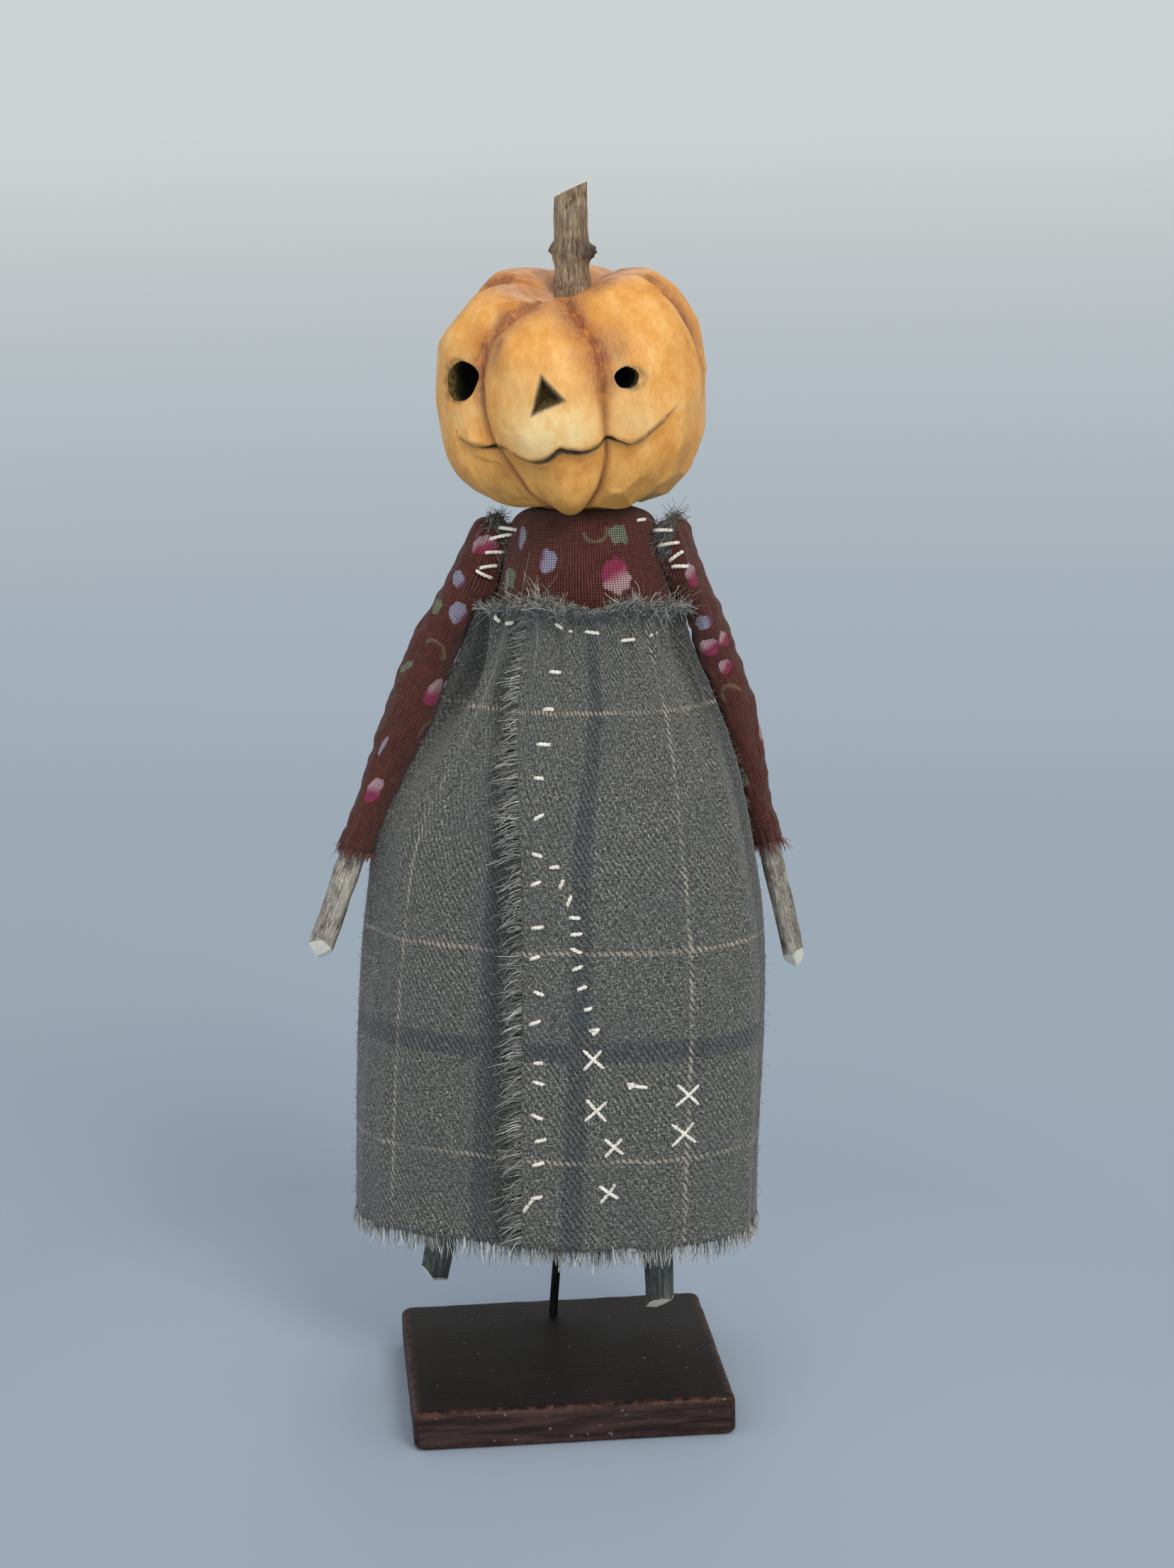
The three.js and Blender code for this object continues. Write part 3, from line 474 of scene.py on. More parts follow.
def wool_finish():
    f = Finish("wool_plaid", 0.92, sheen_weight=0.22, sheen_roughness=0.45, specular_ior_level=0.15)
    u, v = f.cloth()
    u = u + (f.weave(u, v, 0.0, 0.22) - 0.5) * 1.1
    v = v + (f.weave(v, u, 7.0, 0.22) - 0.5) * 1.1
    phase = u * (1 / TWILL_ACROSS) - v * (1 / TWILL_DOWN)
    wave = 0.5 + f.math("SINE", phase * (2 * math.pi)) * 0.5
    warp = f.weave(u * 2.9, v, 0.0, 1.0, 3.0, 0.65)
    weft = f.weave(u * 0.9, v * 2.6, 3.0, 1.0, 3.0, 0.65)
    over = f.step(0.15, 0.85, wave)
    yarn = warp * over + weft * (1.0 - over)
    fibre = f.weave(u, v, 11.0, 3.1, 3.0, 0.7)
    dark = f.stripe(u, DARK_BAND_ACROSS, DARK_BAND_HALF, 0.6, PLAID_REPEAT)
    dark = f.math("MAXIMUM", dark, f.stripe(v, DARK_BAND_DOWN, DARK_BAND_HALF, 0.6))
    plain = f.step(0.42, 0.62, f.weave(u, v, 51.0, 0.05))
    ribbed = f.math("MINIMUM", 0.03 + dark * 0.05 + plain * 0.04, 0.1)
    tone = yarn * 0.6 + fibre * 0.58 + (wave - 0.5) * ribbed
    base = f.ramp(tone, (0.46, "#272928"), (0.57, "#4E504D"), (0.66, "#7B7C77"), (0.8, "#CAC9C0"))
    fleck = f.step(0.58, 0.7, f.weave(u, v, 23.0, 1.9, 2.0, 0.6))
    base = f.mix(fleck * 0.2, base, "#91816C")
    cool = f.step(0.45, 0.7, f.weave(u, v, 31.0, 0.06))
    base = f.mix(cool * 0.25, base, "#50565A")
    base = f.mix(dark * 0.45, base, "#2B323B")
    line = f.stripe(u, PALE_LINE_ACROSS, PALE_LINE_HALF, 0.25, PLAID_REPEAT)
    for down in PALE_LINES_DOWN:
        line = f.math("MAXIMUM", line, f.stripe(v, down, PALE_LINE_HALF, 0.25))
    dash = f.step(0.25, 0.75, wave * 0.6 + yarn * 0.5)
    worn = f.step(0.36, 0.6, f.weave(u, v, 41.0, 0.16))
    base = f.mix(line * dash * (0.14 + worn * 0.36), base, "#D6C6B4")
    # Painted shade: the wool is darkened in the folds beside the arms and under the lap's edge
    base = f.mix(f.value("painted_shade") * 0.72, base, "#191C1C")
    f.put("Base Color", base)
    f.bump(wave * (ribbed * 3.0) + yarn * 0.8 + fibre * 0.8, 0.75, 0.3)
    return f.made


def yarn_finish(name, *stops, tip=0.12):
    f = Finish(name, 0.9, sheen_weight=0.25, sheen_roughness=0.5, specular_ior_level=0.2)
    here = f.grain(1 / 2.2, 3.0, 0.6)
    tone = f.value("tone") + (here - 0.5) * 0.5 + f.value("along") * tip
    f.put("Base Color", f.ramp(tone, *stops))
    f.bump(here, 0.4, 0.1)
    return f.made


def thread_finish():
    f = Finish("cream_thread", 0.7, sheen_weight=0.2, specular_ior_level=0.3)
    here = f.grain(1 / 1.6, 3.0, 0.6)
    f.put("Base Color", f.ramp(here, (0.3, "#CFC6B4"), (0.5, "#EFEADF"), (0.7, "#FBF8F1")))
    f.bump(f.grain(1 / 9.0), 0.5, 0.08)
    return f.made


WARP_PITCH = 0.5
WEFT_PITCH = 0.42
# Colours of the two printed flowers: a darker copy as painted shade between the yarns, at the rim and in the
# heart
FLOWERS = {"pink": ("#8E3355", "#EFD3DA", "#B23A6C"), "blue": ("#4E4A6E", "#C4CAE4", "#8A4470")}


def calico_finish():
    f = Finish("calico_print", 0.93, sheen_weight=0.12, specular_ior_level=0.15)
    u, v = f.cloth()
    sway = f.weave(u, v, 0.0, 0.5) - 0.5
    u = u + sway * 0.3
    v = v + sway * 0.25
    x = u * (1 / WARP_PITCH)
    y = v * (1 / WEFT_PITCH)
    odd = f.math("FLOORED_MODULO", f.math("FLOOR", x) + f.math("FLOOR", y), 2.0)
    round_x = f.math("ABSOLUTE", f.math("SINE", x * math.pi))
    round_y = f.math("ABSOLUTE", f.math("SINE", y * math.pi))
    warp = round_x * (0.55 + odd * 0.45)
    weft = round_y * (0.55 + (1.0 - odd) * 0.45)
    height = f.math("MAXIMUM", warp, weft) * f.math("POWER", round_x * round_y, 0.35)
    slub = f.weave(u * 0.35, v * 2.4, 0.0, 1.0, 3.0, 0.6) * 0.5
    slub = slub + f.weave(u * 2.2, v * 0.3, 5.0) * 0.5
    tone = height * 0.55 + slub * 0.6
    # Ground colour by the yarns' height and their own uneven tone: darker low between the yarns and lighter on
    # their tops, as painted shade of the weave
    ground = f.ramp(tone, (0.3, "#1E0F0D"), (0.55, "#4A2722"), (0.75, "#693A32"), (0.95, "#8E5D50"))
    ground = f.mix(f.step(0.4, 0.7, f.weave(u, v, 3.0, 0.09)) * 0.25, ground, "#5B332C")
    ragged = 0.62 + height * 0.45 + (slub - 0.5) * 1.1
    on_yarn = 0.24 + height * 0.6
    for kind, (between, rim, heart) in FLOWERS.items():
        printed = f.step(0.32, 0.75, f.value(kind) * ragged)
        petal = f.mix(f.value("core"), rim, heart)
        # Each petal goes from its painted shade colour low between the yarns to its own colours on their tops
        ground = f.mix(printed * on_yarn, ground, f.mix(0.4 + height * 0.5, between, petal))
    printed = f.step(0.36, 0.72, f.value("green") * ragged)
    ground = f.mix(printed * on_yarn, ground, f.ramp(tone, (0.4, "#4B594A"), (0.85, "#9DB298")))
    printed = f.step(0.36, 0.72, f.value("stem") * ragged)
    ground = f.mix(printed * on_yarn * 0.6, ground, "#8A8262")
    f.put("Base Color", ground)
    f.bump(height + slub * 0.5, 0.8, 0.16)
    return f.made


def pumpkin_finish():
    f = Finish("pumpkin_stain", coat_weight=0.12, coat_roughness=0.35, specular_ior_level=0.4)
    fine = f.grain((0.32, 0.32, 4.5), 4.0, 0.6)
    broad = f.grain((6.0, 6.0, 8.0), 3.0, 0.55)
    mottle = f.grain((1.6, 1.6, 2.2), 4.0, 0.62)
    tone = broad * 0.56 + mottle * 0.34 + fine * 0.28
    base = f.ramp(tone, (0.36, "#C0782D"), (0.5, "#DC953F"), (0.62, "#E9A955"), (0.8, "#F4C883"))
    pale = f.math("MINIMUM", f.value("muzzle") * (0.55 + broad * 0.7), 0.9)
    base = f.mix(pale, base, f.ramp(tone, (0.38, "#E6B560"), (0.6, "#F5DA9E")))
    low = f.math("MINIMUM", f.value("under") * (0.5 + broad * 0.8), 0.88)
    base = f.mix(low, base, f.ramp(tone, (0.36, "#A2692A"), (0.66, "#D29A4C")))
    stain = f.value("groove") * f.step(0.22, 0.62, mottle * 0.6 + broad * 0.4)
    stain = f.math("MINIMUM", stain * 1.15, 0.92)
    base = f.mix(stain, base, f.ramp(fine, (0.35, "#7C4326"), (0.65, "#A8663F")))
    # Olive: a dark stain round the eyes and nose, and painted shade under the lip's overhang
    olive = f.value("soot_and_lip_shade") * f.step(0.3, 0.6, mottle)
    base = f.mix(olive * 0.75, base, "#6A542A")
    base = f.mix(f.step(0.6, 0.74, fine) * 0.32, base, "#A8652A")
    f.put("Base Color", f.mix(f.value("line"), base, "#2A1E12"))
    f.put("Roughness", 0.38 + mottle * 0.22 + fine * 0.12)
    f.bump(fine * 0.5 + mottle * 0.6, 0.5, 0.16)
    return f.made


def pit_finish():
    f = Finish("carved_hollow", 0.95, specular_ior_level=0.1)
    rough = f.grain((0.7, 0.7, 1.1), 4.0, 0.65)
    base = f.ramp(rough, (0.36, "#453A1F"), (0.55, "#6E5C35"), (0.75, "#9A8551"))
    # Painted shade: the hollow turns near black deeper in the holes, by the head's deep values
    f.put("Base Color", f.mix(f.value("deep"), base, "#070604"))
    f.bump(rough, 0.8, 0.4)
    return f.made


def bark_finish(name, dark, middle, light, cool, close=1.0):
    f = Finish(name, 0.88, specular_ior_level=0.25)
    u, v = (at * close for at in f.cloth())
    streak = f.weave(u * 1.7, v * 0.17, 0.0, 1.0, 4.0, 0.65)
    fine = f.weave(u * 4.5, v * 0.6, 4.0, 1.0, 4.0, 0.6)
    patch = f.weave(u * 0.3, v * 0.16, 9.0, 1.0, 3.0, 0.6)
    strip = f.weave(u * 0.2, v * 0.045, 21.0)
    crack = f.step(0.64, 0.72, f.weave(u * 2.4, v * 0.24, 15.0))
    tone = streak * 0.6 + fine * 0.45 + (patch - 0.5) * 0.3
    base = f.ramp(tone, (0.38, dark), (0.53, middle), (0.7, light))
    base = f.mix(f.step(0.5, 0.66, patch) * 0.45, base, cool)
    base = f.mix(f.step(0.5, 0.62, strip) * 0.32, base, light)
    base = f.mix(f.step(0.46, 0.36, strip) * 0.3, base, dark)
    base = f.mix(crack * 0.75, base, "#1F1914")
    base = f.mix(f.value("knot") * f.step(0.22, 0.5, fine) * 0.85, base, "#332A25")
    cut = f.value("cut")
    wood = f.ramp(f.grain(1 / 2.3, 4.0, 0.6), (0.32, "#EFE6C4"), (0.46, "#FCF8E8"), (0.62, "#FFFDF6"))
    edge = f.step(0.15, 0.5, cut) * (1.0 - f.step(0.5, 0.85, cut))
    base = f.mix(f.step(0.35, 0.6, cut), base, wood)
    f.put("Base Color", f.mix(edge * 0.4, base, "#A3A878"))
    f.bump(streak * 0.8 + fine * 0.5 + crack * -0.6, 0.7, 0.25)
    return f.made


def board_finish():
    f = Finish("stained_board", specular_ior_level=0.1)
    grain = f.grain((14.0, 0.7, 1.2), 4.0, 0.6)
    pores = f.grain((2.4, 0.22, 0.5))
    cloud = f.grain(9.0, 3.0, 0.55)
    tone = grain * 0.55 + cloud * 0.45
    base = f.ramp(tone, (0.36, "#110E0D"), (0.52, "#1E1817"), (0.68, "#2C2220"))
    base = f.mix(f.step(0.56, 0.66, pores) * 0.5, base, "#120E0D")
    wear = f.value("wear") * f.step(0.4, 0.62, f.grain(1 / 0.55, 4.0, 0.7))
    base = f.mix(wear * 0.75, base, "#6B4638")
    base = f.mix(f.value("side") * 0.5, base, f.ramp(grain, (0.4, "#342626"), (0.6, "#574240")))
    speck = f.step(0.765, 0.785, f.grain(1 / 0.95, 1.0, 0.3))
    f.put("Base Color", f.mix(speck * 0.5, base, "#8C847C"))
    f.put("Roughness", 0.42 + cloud * 0.2 + pores * 0.12)
    f.bump(grain * 0.5 + pores * -0.6, 0.45, 0.15)
    return f.made


def wire_finish():
    f = Finish("black_wire", metallic=0.6, specular_ior_level=0.4)
    rough = f.grain(1 / 1.4, 4.0, 0.65)
    f.put("Base Color", f.ramp(rough, (0.4, "#0E0F11"), (0.58, "#1D1E20"), (0.72, "#37302B")))
    f.put("Roughness", 0.3 + rough * 0.3)
    f.bump(rough, 0.3, 0.06)
    return f.made


def bare_wood_finish():
    f = Finish("bare_wood", 0.7)
    rings = f.grain((1.1, 1.1, 16.0), 4.0, 0.6)
    f.put("Base Color", f.ramp(rings, (0.35, "#9E7A4C"), (0.5, "#C9A777"), (0.68, "#E0C79D")))
    f.bump(rings, 0.5, 0.2)
    return f.made


WOOL = wool_finish()
WOOL_YARN = yarn_finish("wool_yarn", (0.1, "#2B2C2B"), (0.42, "#5F5F5B"), (0.68, "#95948F"),
                        (0.95, "#D2D1CB"))
HEM_YARN = yarn_finish("hem_yarn", (0.1, "#2D2E2D"), (0.42, "#656662"), (0.68, "#9E9F9A"), (0.95, "#E6E6E0"),
                       tip=0.4)
LAP_YARN = yarn_finish("lap_yarn", (0.1, "#2C2D2C"), (0.42, "#61625E"), (0.68, "#979792"), (0.95, "#DDDCD6"))
CALICO_YARN = yarn_finish("calico_yarn", (0.2, "#3A1715"), (0.5, "#6A322B"), (0.9, "#A87A6C"))
THREAD = thread_finish()
CALICO = calico_finish()
PUMPKIN = pumpkin_finish()
HOLLOW = pit_finish()
STEM_BARK = bark_finish("stem_bark", "#45362A", "#8E7B66", "#CFB892", "#6F665F", 1.3)
HAND_BARK = bark_finish("hand_bark", "#352F28", "#918B81", "#E4DFD4", "#716E67", 1.8)
# The legs' bark is in darker greys than the other twigs: partly its own colour, partly painted shade
SHADED_LEG_BARK = bark_finish("shaded_leg_bark", "#2E302E", "#545A58", "#848A86", "#3E4444")
BOARD = board_finish()
WIRE = wire_finish()
BARE_WOOD = bare_wood_finish()


# Carved pumpkin head. Azimuth 0 is the front and grows towards the doll's left.
HEAD_HALF_WIDTH = 25.9
HEAD_HALF_DEPTH = 24.0
HEAD_RISE = 25.6
HEAD_FALL = 25.4
HEAD_ROUNDNESS = 2.35
FACE_RADIUS = 24.5
TOP_DIMPLE = 8.4
TOP_DIMPLE_SPREAD = 0.34
BOTTOM_DIMPLE = 5.0
BOTTOM_DIMPLE_SPREAD = 0.52
GROOVE_DEPTH = 3.4
GROOVE_REACH = 10.5
CREASE_DEPTH = 0.55
CROWN_SAG = 4.9
CROWN_SAG_AZIMUTH = math.radians(-10)
MUZZLE_SWELL = 0.9
CHEEK_SWELL = 0.7
CHIN_SWELL = 2.1
JOWL_SWELL = 0.8
# Millimetres down the head's front for a radian of latitude
DOWN_FRONT = 25.0
# Knife strokes: places tried, room for each low and high on the head, and how far from a groove they stay
STROKE_TRIES = 9000
STROKE_ROOM_LOW = 5.2
STROKE_ROOM_HIGH = 7.0
STROKE_FROM_GROOVE = 1.6
SHARP_EDGE = math.radians(38)
# Azimuth and latitude in degrees of the cuts between the lobes, from the stem down
GROOVES = [
    [(-11, 70), (-16, 56), (-25, 42), (-32.5, 24), (-33.5, 10), (-32.5, 2), (-31, -8), (-27.5, -17),
     (-22, -29), (-17.5, -39), (-12, -52), (-1.5, -68)],
    [(9.5, 70), (13, 56), (19, 41), (25, 24), (27.5, 9), (28, -4), (29, -15), (30, -24), (29, -36), (27, -46),
     (22.5, -57), (15, -70)],
    [(80, 66), (87, 46), (95, 20), (97, 0), (94, -22), (84, -44), (70, -66)],
    [(150, 66), (150, 30), (152, 0), (149, -30), (150, -66)],
    [(-150, 66), (-149, 30), (-151, 0), (-150, -30), (-150, -66)],
    [(-78, 66), (-86, 42), (-89, 12), (-87, -12), (-80, -36), (-66, -66)],
]
# Azimuth in degrees, height in millimetres over the head's middle
MOUTH = [
    (-50, -4.6), (-42.5, -7.8), (-33.5, -9.1), (-25.5, -9.5), (-19.5, -8.7), (-14, -9.6), (-10, -10.5),
    (-4, -10.9), (2.5, -10.2), (8, -8.5), (11.5, -8.8), (18.5, -9.3), (25.5, -8.7), (29, -7.7), (34, -7.7),
    (39.5, -8.2), (43, -7.4), (46.5, -6), (51, -4.3), (57, -2.4), (61, -0.6),
]
MOUTH_ROW = math.radians(-16)
# Azimuth in degrees, height and radius in millimetres
EYES = {"left": (40.0, 3.6, 1.95), "right": (-46.5, 2.9, 3.7)}
EYE_DEPTH = 6.0
EYE_REACH = 23.6
NOSE_AZIMUTH = math.radians(3.4)
NOSE_HEIGHT = 0.5
NOSE_CORNERS = [(-0.6, 3.6), (-2.3, -2.8), (3.0, -0.5)]
NOSE_FLOOR = (-0.7, 0.6)
NOSE_DEPTH = 3.2
NOSE_REACH = 25.2
TOOL_START = -6


def head_base(azimuth, latitude):
    power = 2 / HEAD_ROUNDNESS
    out = np.cos(latitude) ** power
    up = np.sign(latitude) * np.abs(np.sin(latitude)) ** power
    above = up > 0
    hollow = np.where(above, TOP_DIMPLE, -BOTTOM_DIMPLE) * smooth(0.05, 0.4, np.abs(up))
    spread = np.where(above, TOP_DIMPLE_SPREAD, BOTTOM_DIMPLE_SPREAD)
    z = up * np.where(above, HEAD_RISE, HEAD_FALL) - hollow * bell(out, spread)
    facing = np.maximum(0, np.cos(azimuth - CROWN_SAG_AZIMUTH)) ** 1.6
    z = z - CROWN_SAG * facing * smooth(6, 21, z) * smooth(0.05, 0.35, out)
    x = HEAD_HALF_WIDTH * out * np.sin(azimuth)
    y = -HEAD_HALF_DEPTH * out * np.cos(azimuth)
    return np.stack([x, y, z + 0 * azimuth], -1)


def latitude_of(height):
    tall = np.where(np.asarray(height) > 0, HEAD_RISE, HEAD_FALL)
    share = np.clip(np.abs(height) / tall, 0, 0.98)
    return np.sign(height) * np.arcsin(share ** (HEAD_ROUNDNESS / 2))


def mouth_latitude(azimuth):
    """The mouth's line where it is cut, easing to its middle row round the rest of the head."""
    degrees = np.degrees(azimuth)
    at = latitude_of(line_at(MOUTH, 300, degrees))
    beyond = np.maximum(smooth(61, 120, degrees), smooth(50, 110, -degrees))
    return lerp(at, MOUTH_ROW, beyond)


def nearest(points, line, chunk=4000):
    """How far each point is from a line of points."""
    found = np.empty(len(points))
    for i in range(0, len(points), chunk):
        off = points[i:i + chunk, None] - line[None]
        found[i:i + chunk] = np.sqrt((off * off).sum(-1).min(1))
    return found


def spaced(low, high, density):
    """Places from low to high, as close together as the density asks."""
    fine = np.linspace(low, high, 4000)
    total = np.concatenate([[0], np.cumsum((density(fine[1:]) + density(fine[:-1])) / 2)])
    count = int(total[-1] * (high - low) / 3999)
    return np.interp(np.linspace(0, total[-1], count), total, fine)


def head_rows():
    lip = np.radians([0.22, 0.5, 0.85, 1.3, 1.85])
    upper = spaced(MOUTH_ROW, math.radians(86), lambda a: 52 + 62 * bell(np.degrees(a) + 4, 16))
    lower = np.linspace(MOUTH_ROW - math.radians(2.5), math.radians(-84), 84)
    return np.concatenate([lower[::-1], (MOUTH_ROW - lip)[::-1], upper])


def outward_normals(points):
    normal = grid_normals(points, True)
    return normal * np.sign((normal * points).sum(-1, keepdims=True))


def carved_head():
    """The head's grid of places and the numbers that colour it."""
    columns = spaced(-math.pi, math.pi, lambda a: 26 + 106 * smooth(1.75, 1.35, np.abs(a - 0.17)))[:-1]
    azimuth, row = np.meshgrid(columns, head_rows())
    shift = mouth_latitude(azimuth) - MOUTH_ROW
    latitude = row + shift * (1 - smooth(0, math.radians(48), np.abs(row - MOUTH_ROW)))
    base = head_base(azimuth, latitude)
    gaps = []
    for groove in GROOVES:
        path = np.radians(through(groove, 140))
        gaps.append(nearest(base.reshape(-1, 3), head_base(path[:, 0], path[:, 1])))
    gaps = np.array(gaps).reshape(len(GROOVES), *azimuth.shape)
    gap = gaps.min(0)
    settle = smooth(0.12, 0.5, np.cos(latitude) ** 0.85)
    reach = np.clip(0.95 * np.sort(gaps, axis=0)[:2].mean(0), 3.0, GROOVE_REACH)
    valley = np.clip(1 - gap / reach, 0, 1) ** 2.0 * (reach / GROOVE_REACH) ** 0.7
    push = -GROOVE_DEPTH * valley * settle * (1 + 0.28 * noise(base, 13.0, 4))
    push -= CREASE_DEPTH * bell(gap, 0.6) * settle * (0.7 + 0.6 * noise(base, 5.0, 9))
    degrees = np.degrees(azimuth)
    z = base[..., 2]
    below = (mouth_latitude(azimuth) - latitude) * DOWN_FRONT
    across = smooth(-49, -41, degrees) * smooth(62, 49, degrees)
    front = smooth(-24, -16, degrees) * smooth(31, 24, degrees)
    under = below > 0.01
    step = across * lerp(0.7, 1.6, front)
    push -= np.where(under, step * smooth(0, 0.3, below) * (1 - smooth(3.5, 12, below)), 0)
    push -= np.where(under, across * lerp(0.8, 0.9, front) * bell(below - 0.45, 0.38), 0)
    muzzle = bell(degrees - 5, 17) * bell(z + 5.5, 6.5)
    push += np.where(under, 0.3, 1) * MUZZLE_SWELL * muzzle
    push += 0.45 * noise(base, 8.5, 21) + 0.12 * noise(base, 3.0, 22)
    tilt = np.degrees(latitude)
    push += CHEEK_SWELL * bell(degrees - 55, 18) * bell(z + 2, 9)
    push += CHIN_SWELL * bell(degrees - 12, 13) * bell(tilt + 50, 14)
    push += JOWL_SWELL * bell(degrees + 60, 14) * bell(tilt + 30, 14)
    eye_gaps = []
    for turn, height, radius in EYES.values():
        middle = head_base(np.array(math.radians(turn)), latitude_of(height))
        eye_gaps.append(np.maximum(np.linalg.norm(base - middle, axis=-1) - radius, 0))
        push -= 0.35 * bell(eye_gaps[-1], 0.6)
    points = base + outward_normals(base) * push[..., None]
    points = points + facets(points, degrees, latitude, under, gap)
    return points, head_values(points, degrees, z, latitude, gap, below, across, front, muzzle, eye_gaps)


def facets(points, degrees, latitude, under, gap):
    """Flat knife strokes: each place is lifted to the nearest of the planes that touch its own lobe."""
    lobe = 10 * (under & (degrees > -46) & (degrees < 56)).astype(int)
    for groove in GROOVES:
        path = through(groove, 60)
        lobe += degrees > np.interp(np.degrees(latitude), path[::-1, 1], path[::-1, 0])
    p = points.reshape(-1, 3)
    n = outward_normals(points).reshape(-1, 3)
    lobe, under, gap, turn = lobe.ravel(), under.ravel(), gap.ravel(), degrees.ravel()
    seeds = []
    for i in np.random.default_rng(5).permutation(len(p))[:STROKE_TRIES]:
        if gap[i] < STROKE_FROM_GROOVE:
            continue
        room = STROKE_ROOM_LOW if p[i, 2] < -6 else STROKE_ROOM_HIGH
        if all(np.abs(p[i] - p[j]).max() > room * 0.8 or lobe[i] != lobe[j] for j in seeds):
            seeds.append(i)
    seeds = np.array(seeds)
    lift = np.zeros(len(p))
    for kind in np.unique(lobe):
        here = np.flatnonzero(lobe == kind)
        mine = seeds[lobe[seeds] == kind]
        if len(mine) < 3:
            continue
        facing = n[here] @ n[mine].T
        rise = ((n[mine] * p[mine]).sum(1)[None] - p[here] @ n[mine].T) / np.maximum(facing, 0.2)
        far = np.linalg.norm(p[here][:, None] - p[mine][None], axis=-1)
        rise = rise + 6 * smooth(0.82, 0.66, facing) + 6 * smooth(8.5, 11.5, far)
        lift[here] = np.clip(rise.min(1), -0.25, 0.9)
    z = p[:, 2]
    seam = np.where(under, np.minimum(np.abs(turn + 46), np.abs(turn - 56)), 90)
    below = (mouth_latitude(np.radians(degrees)) - latitude).ravel() * DOWN_FRONT
    soft = np.max([
        0.75 * bell(turn - 11, 16) * smooth(-13, -17, z),
        0.85 * bell(turn - 4, 20) * bell(z + 5.5, 7.5),
        bell(turn + 58, 16) * smooth(-4, -9, z),
        smooth(8, 1.5, seam),
        np.where(under, smooth(4.5, 2.0, below), 0) * smooth(-58, -48, turn) * smooth(68, 58, turn),
    ], axis=0)
    share = lerp(0.38, 0.95, smooth(-2, -12, z)) * smooth(0.6, 2.6, gap) * (1 - soft)
    return (n * (1.15 * (lift - 0.2) * share)[:, None]).reshape(points.shape)


def head_values(points, degrees, z, latitude, gap, below, across, front, muzzle, eye_gaps):
    """Where the head is stained, pale, sooty, darker towards the bottom, painted with shade under the lip, or
    drawn on.
    """
    blotch = 0.5 + 0.5 * noise(points, 4.5, 31)
    upper = smooth(-6, 9, z)
    groove = bell(gap, lerp(0.9, 3.5, upper) * (0.5 + blotch)) * lerp(0.6, 1.0, upper)
    stem = smooth(math.radians(50), math.radians(64), latitude)
    groove = np.maximum(groove, 0.75 * stem * (0.4 + 0.8 * blotch))
    patch = np.maximum(bell(degrees - 33, 7) * bell(z - 10, 5), bell(degrees + 20, 5) * bell(z - 10, 6))
    groove = np.maximum(groove, 0.75 * patch * (0.3 + blotch))
    depth = 0.8 + 1.0 * front
    line = across * smooth(-0.1, 0.04, below) * (1 - smooth(depth, depth + 0.45, below))
    line = line * (0.85 + 0.3 * noise(points, 1.6, 33))
    line = np.maximum(line, 0.55 * bell(line_gap(degrees, z, (1.3, 4.4), (-2.6, -2.7)), 0.2))
    crease = bell(gap, 0.35) * smooth(6, -2, z) * 0.45
    line = np.maximum(line, np.where(np.abs(degrees) < 40, crease, 0.3 * crease))
    nose = np.maximum(nose_gap(degrees, z), 0)
    soot = np.max([bell(off, 0.75) for off in eye_gaps] + [0.9 * bell(nose, 0.4)], axis=0)
    # Painted shade under the overhang of the upper lip
    under_lip = across * np.where(below > 0, bell(below, 2.0), bell(below, 0.35))
    cheek = bell(degrees - 42, 14) * bell(z + 4, 5) + bell(degrees + 42, 9) * bell(z + 3.5, 4)
    pale = np.clip(1.25 * muzzle, 0, 1) * (below < 0)
    return {
        "groove": np.clip(groove, 0, 1),
        "muzzle": np.clip(pale + 0.5 * cheek * (below < 0), 0, 1),
        "under": smooth(-6, -19, z),
        "line": np.clip(np.maximum(line, 0.85 * bell(nose, 0.22)), 0, 1),
        "soot_and_lip_shade": np.clip(np.maximum(0.75 * under_lip, soot), 0, 1),
        "kept": np.ones(degrees.shape),
        "deep": np.zeros(degrees.shape),
    }


def line_gap(degrees, z, start, end):
    """Distance in millimetres on the head's front from a straight cut between two places."""
    x = FACE_RADIUS * np.radians(degrees)
    ax, az = FACE_RADIUS * math.radians(start[0]), start[1]
    bx, bz = FACE_RADIUS * math.radians(end[0]), end[1]
    share = ((x - ax) * (bx - ax) + (z - az) * (bz - az)) / ((bx - ax) ** 2 + (bz - az) ** 2)
    share = np.clip(share, 0, 1)
    return np.hypot(x - lerp(ax, bx, share), z - lerp(az, bz, share))


def nose_gap(degrees, z):
    """Distance outside the nose's triangle, and less than 0 inside it."""
    x = FACE_RADIUS * np.radians(degrees) - FACE_RADIUS * NOSE_AZIMUTH
    y = z - NOSE_HEIGHT
    most = np.full(degrees.shape, -9.0)
    for k in range(3):
        ax, ay = NOSE_CORNERS[k]
        bx, by = NOSE_CORNERS[(k + 1) % 3]
        across = ((bx - ax) * (y - ay) - (by - ay) * (x - ax)) / math.hypot(bx - ax, by - ay)
        most = np.maximum(most, -across)
    return most


def cutter(name, outlines, depths, azimuth, height, reach):
    """A tool that enters the head square to its axis. Outlines are rings of places, each at its depth."""
    azimuth = np.array(azimuth)
    middle = np.array([HEAD_SIDEWAYS, 0, HEAD_CENTRE + height])
    rings = []
    for outline, depth in zip(outlines, depths):
        at = np.asarray(outline)
        across = at[:, :1] * sideways_at(azimuth) + at[:, 1:] * np.array([0, 0, 1.0])
        rings.append(middle + outward_at(azimuth) * (reach - depth) + across)
    return make(name, rings, tube_faces(len(rings), len(rings[0])), HOLLOW)


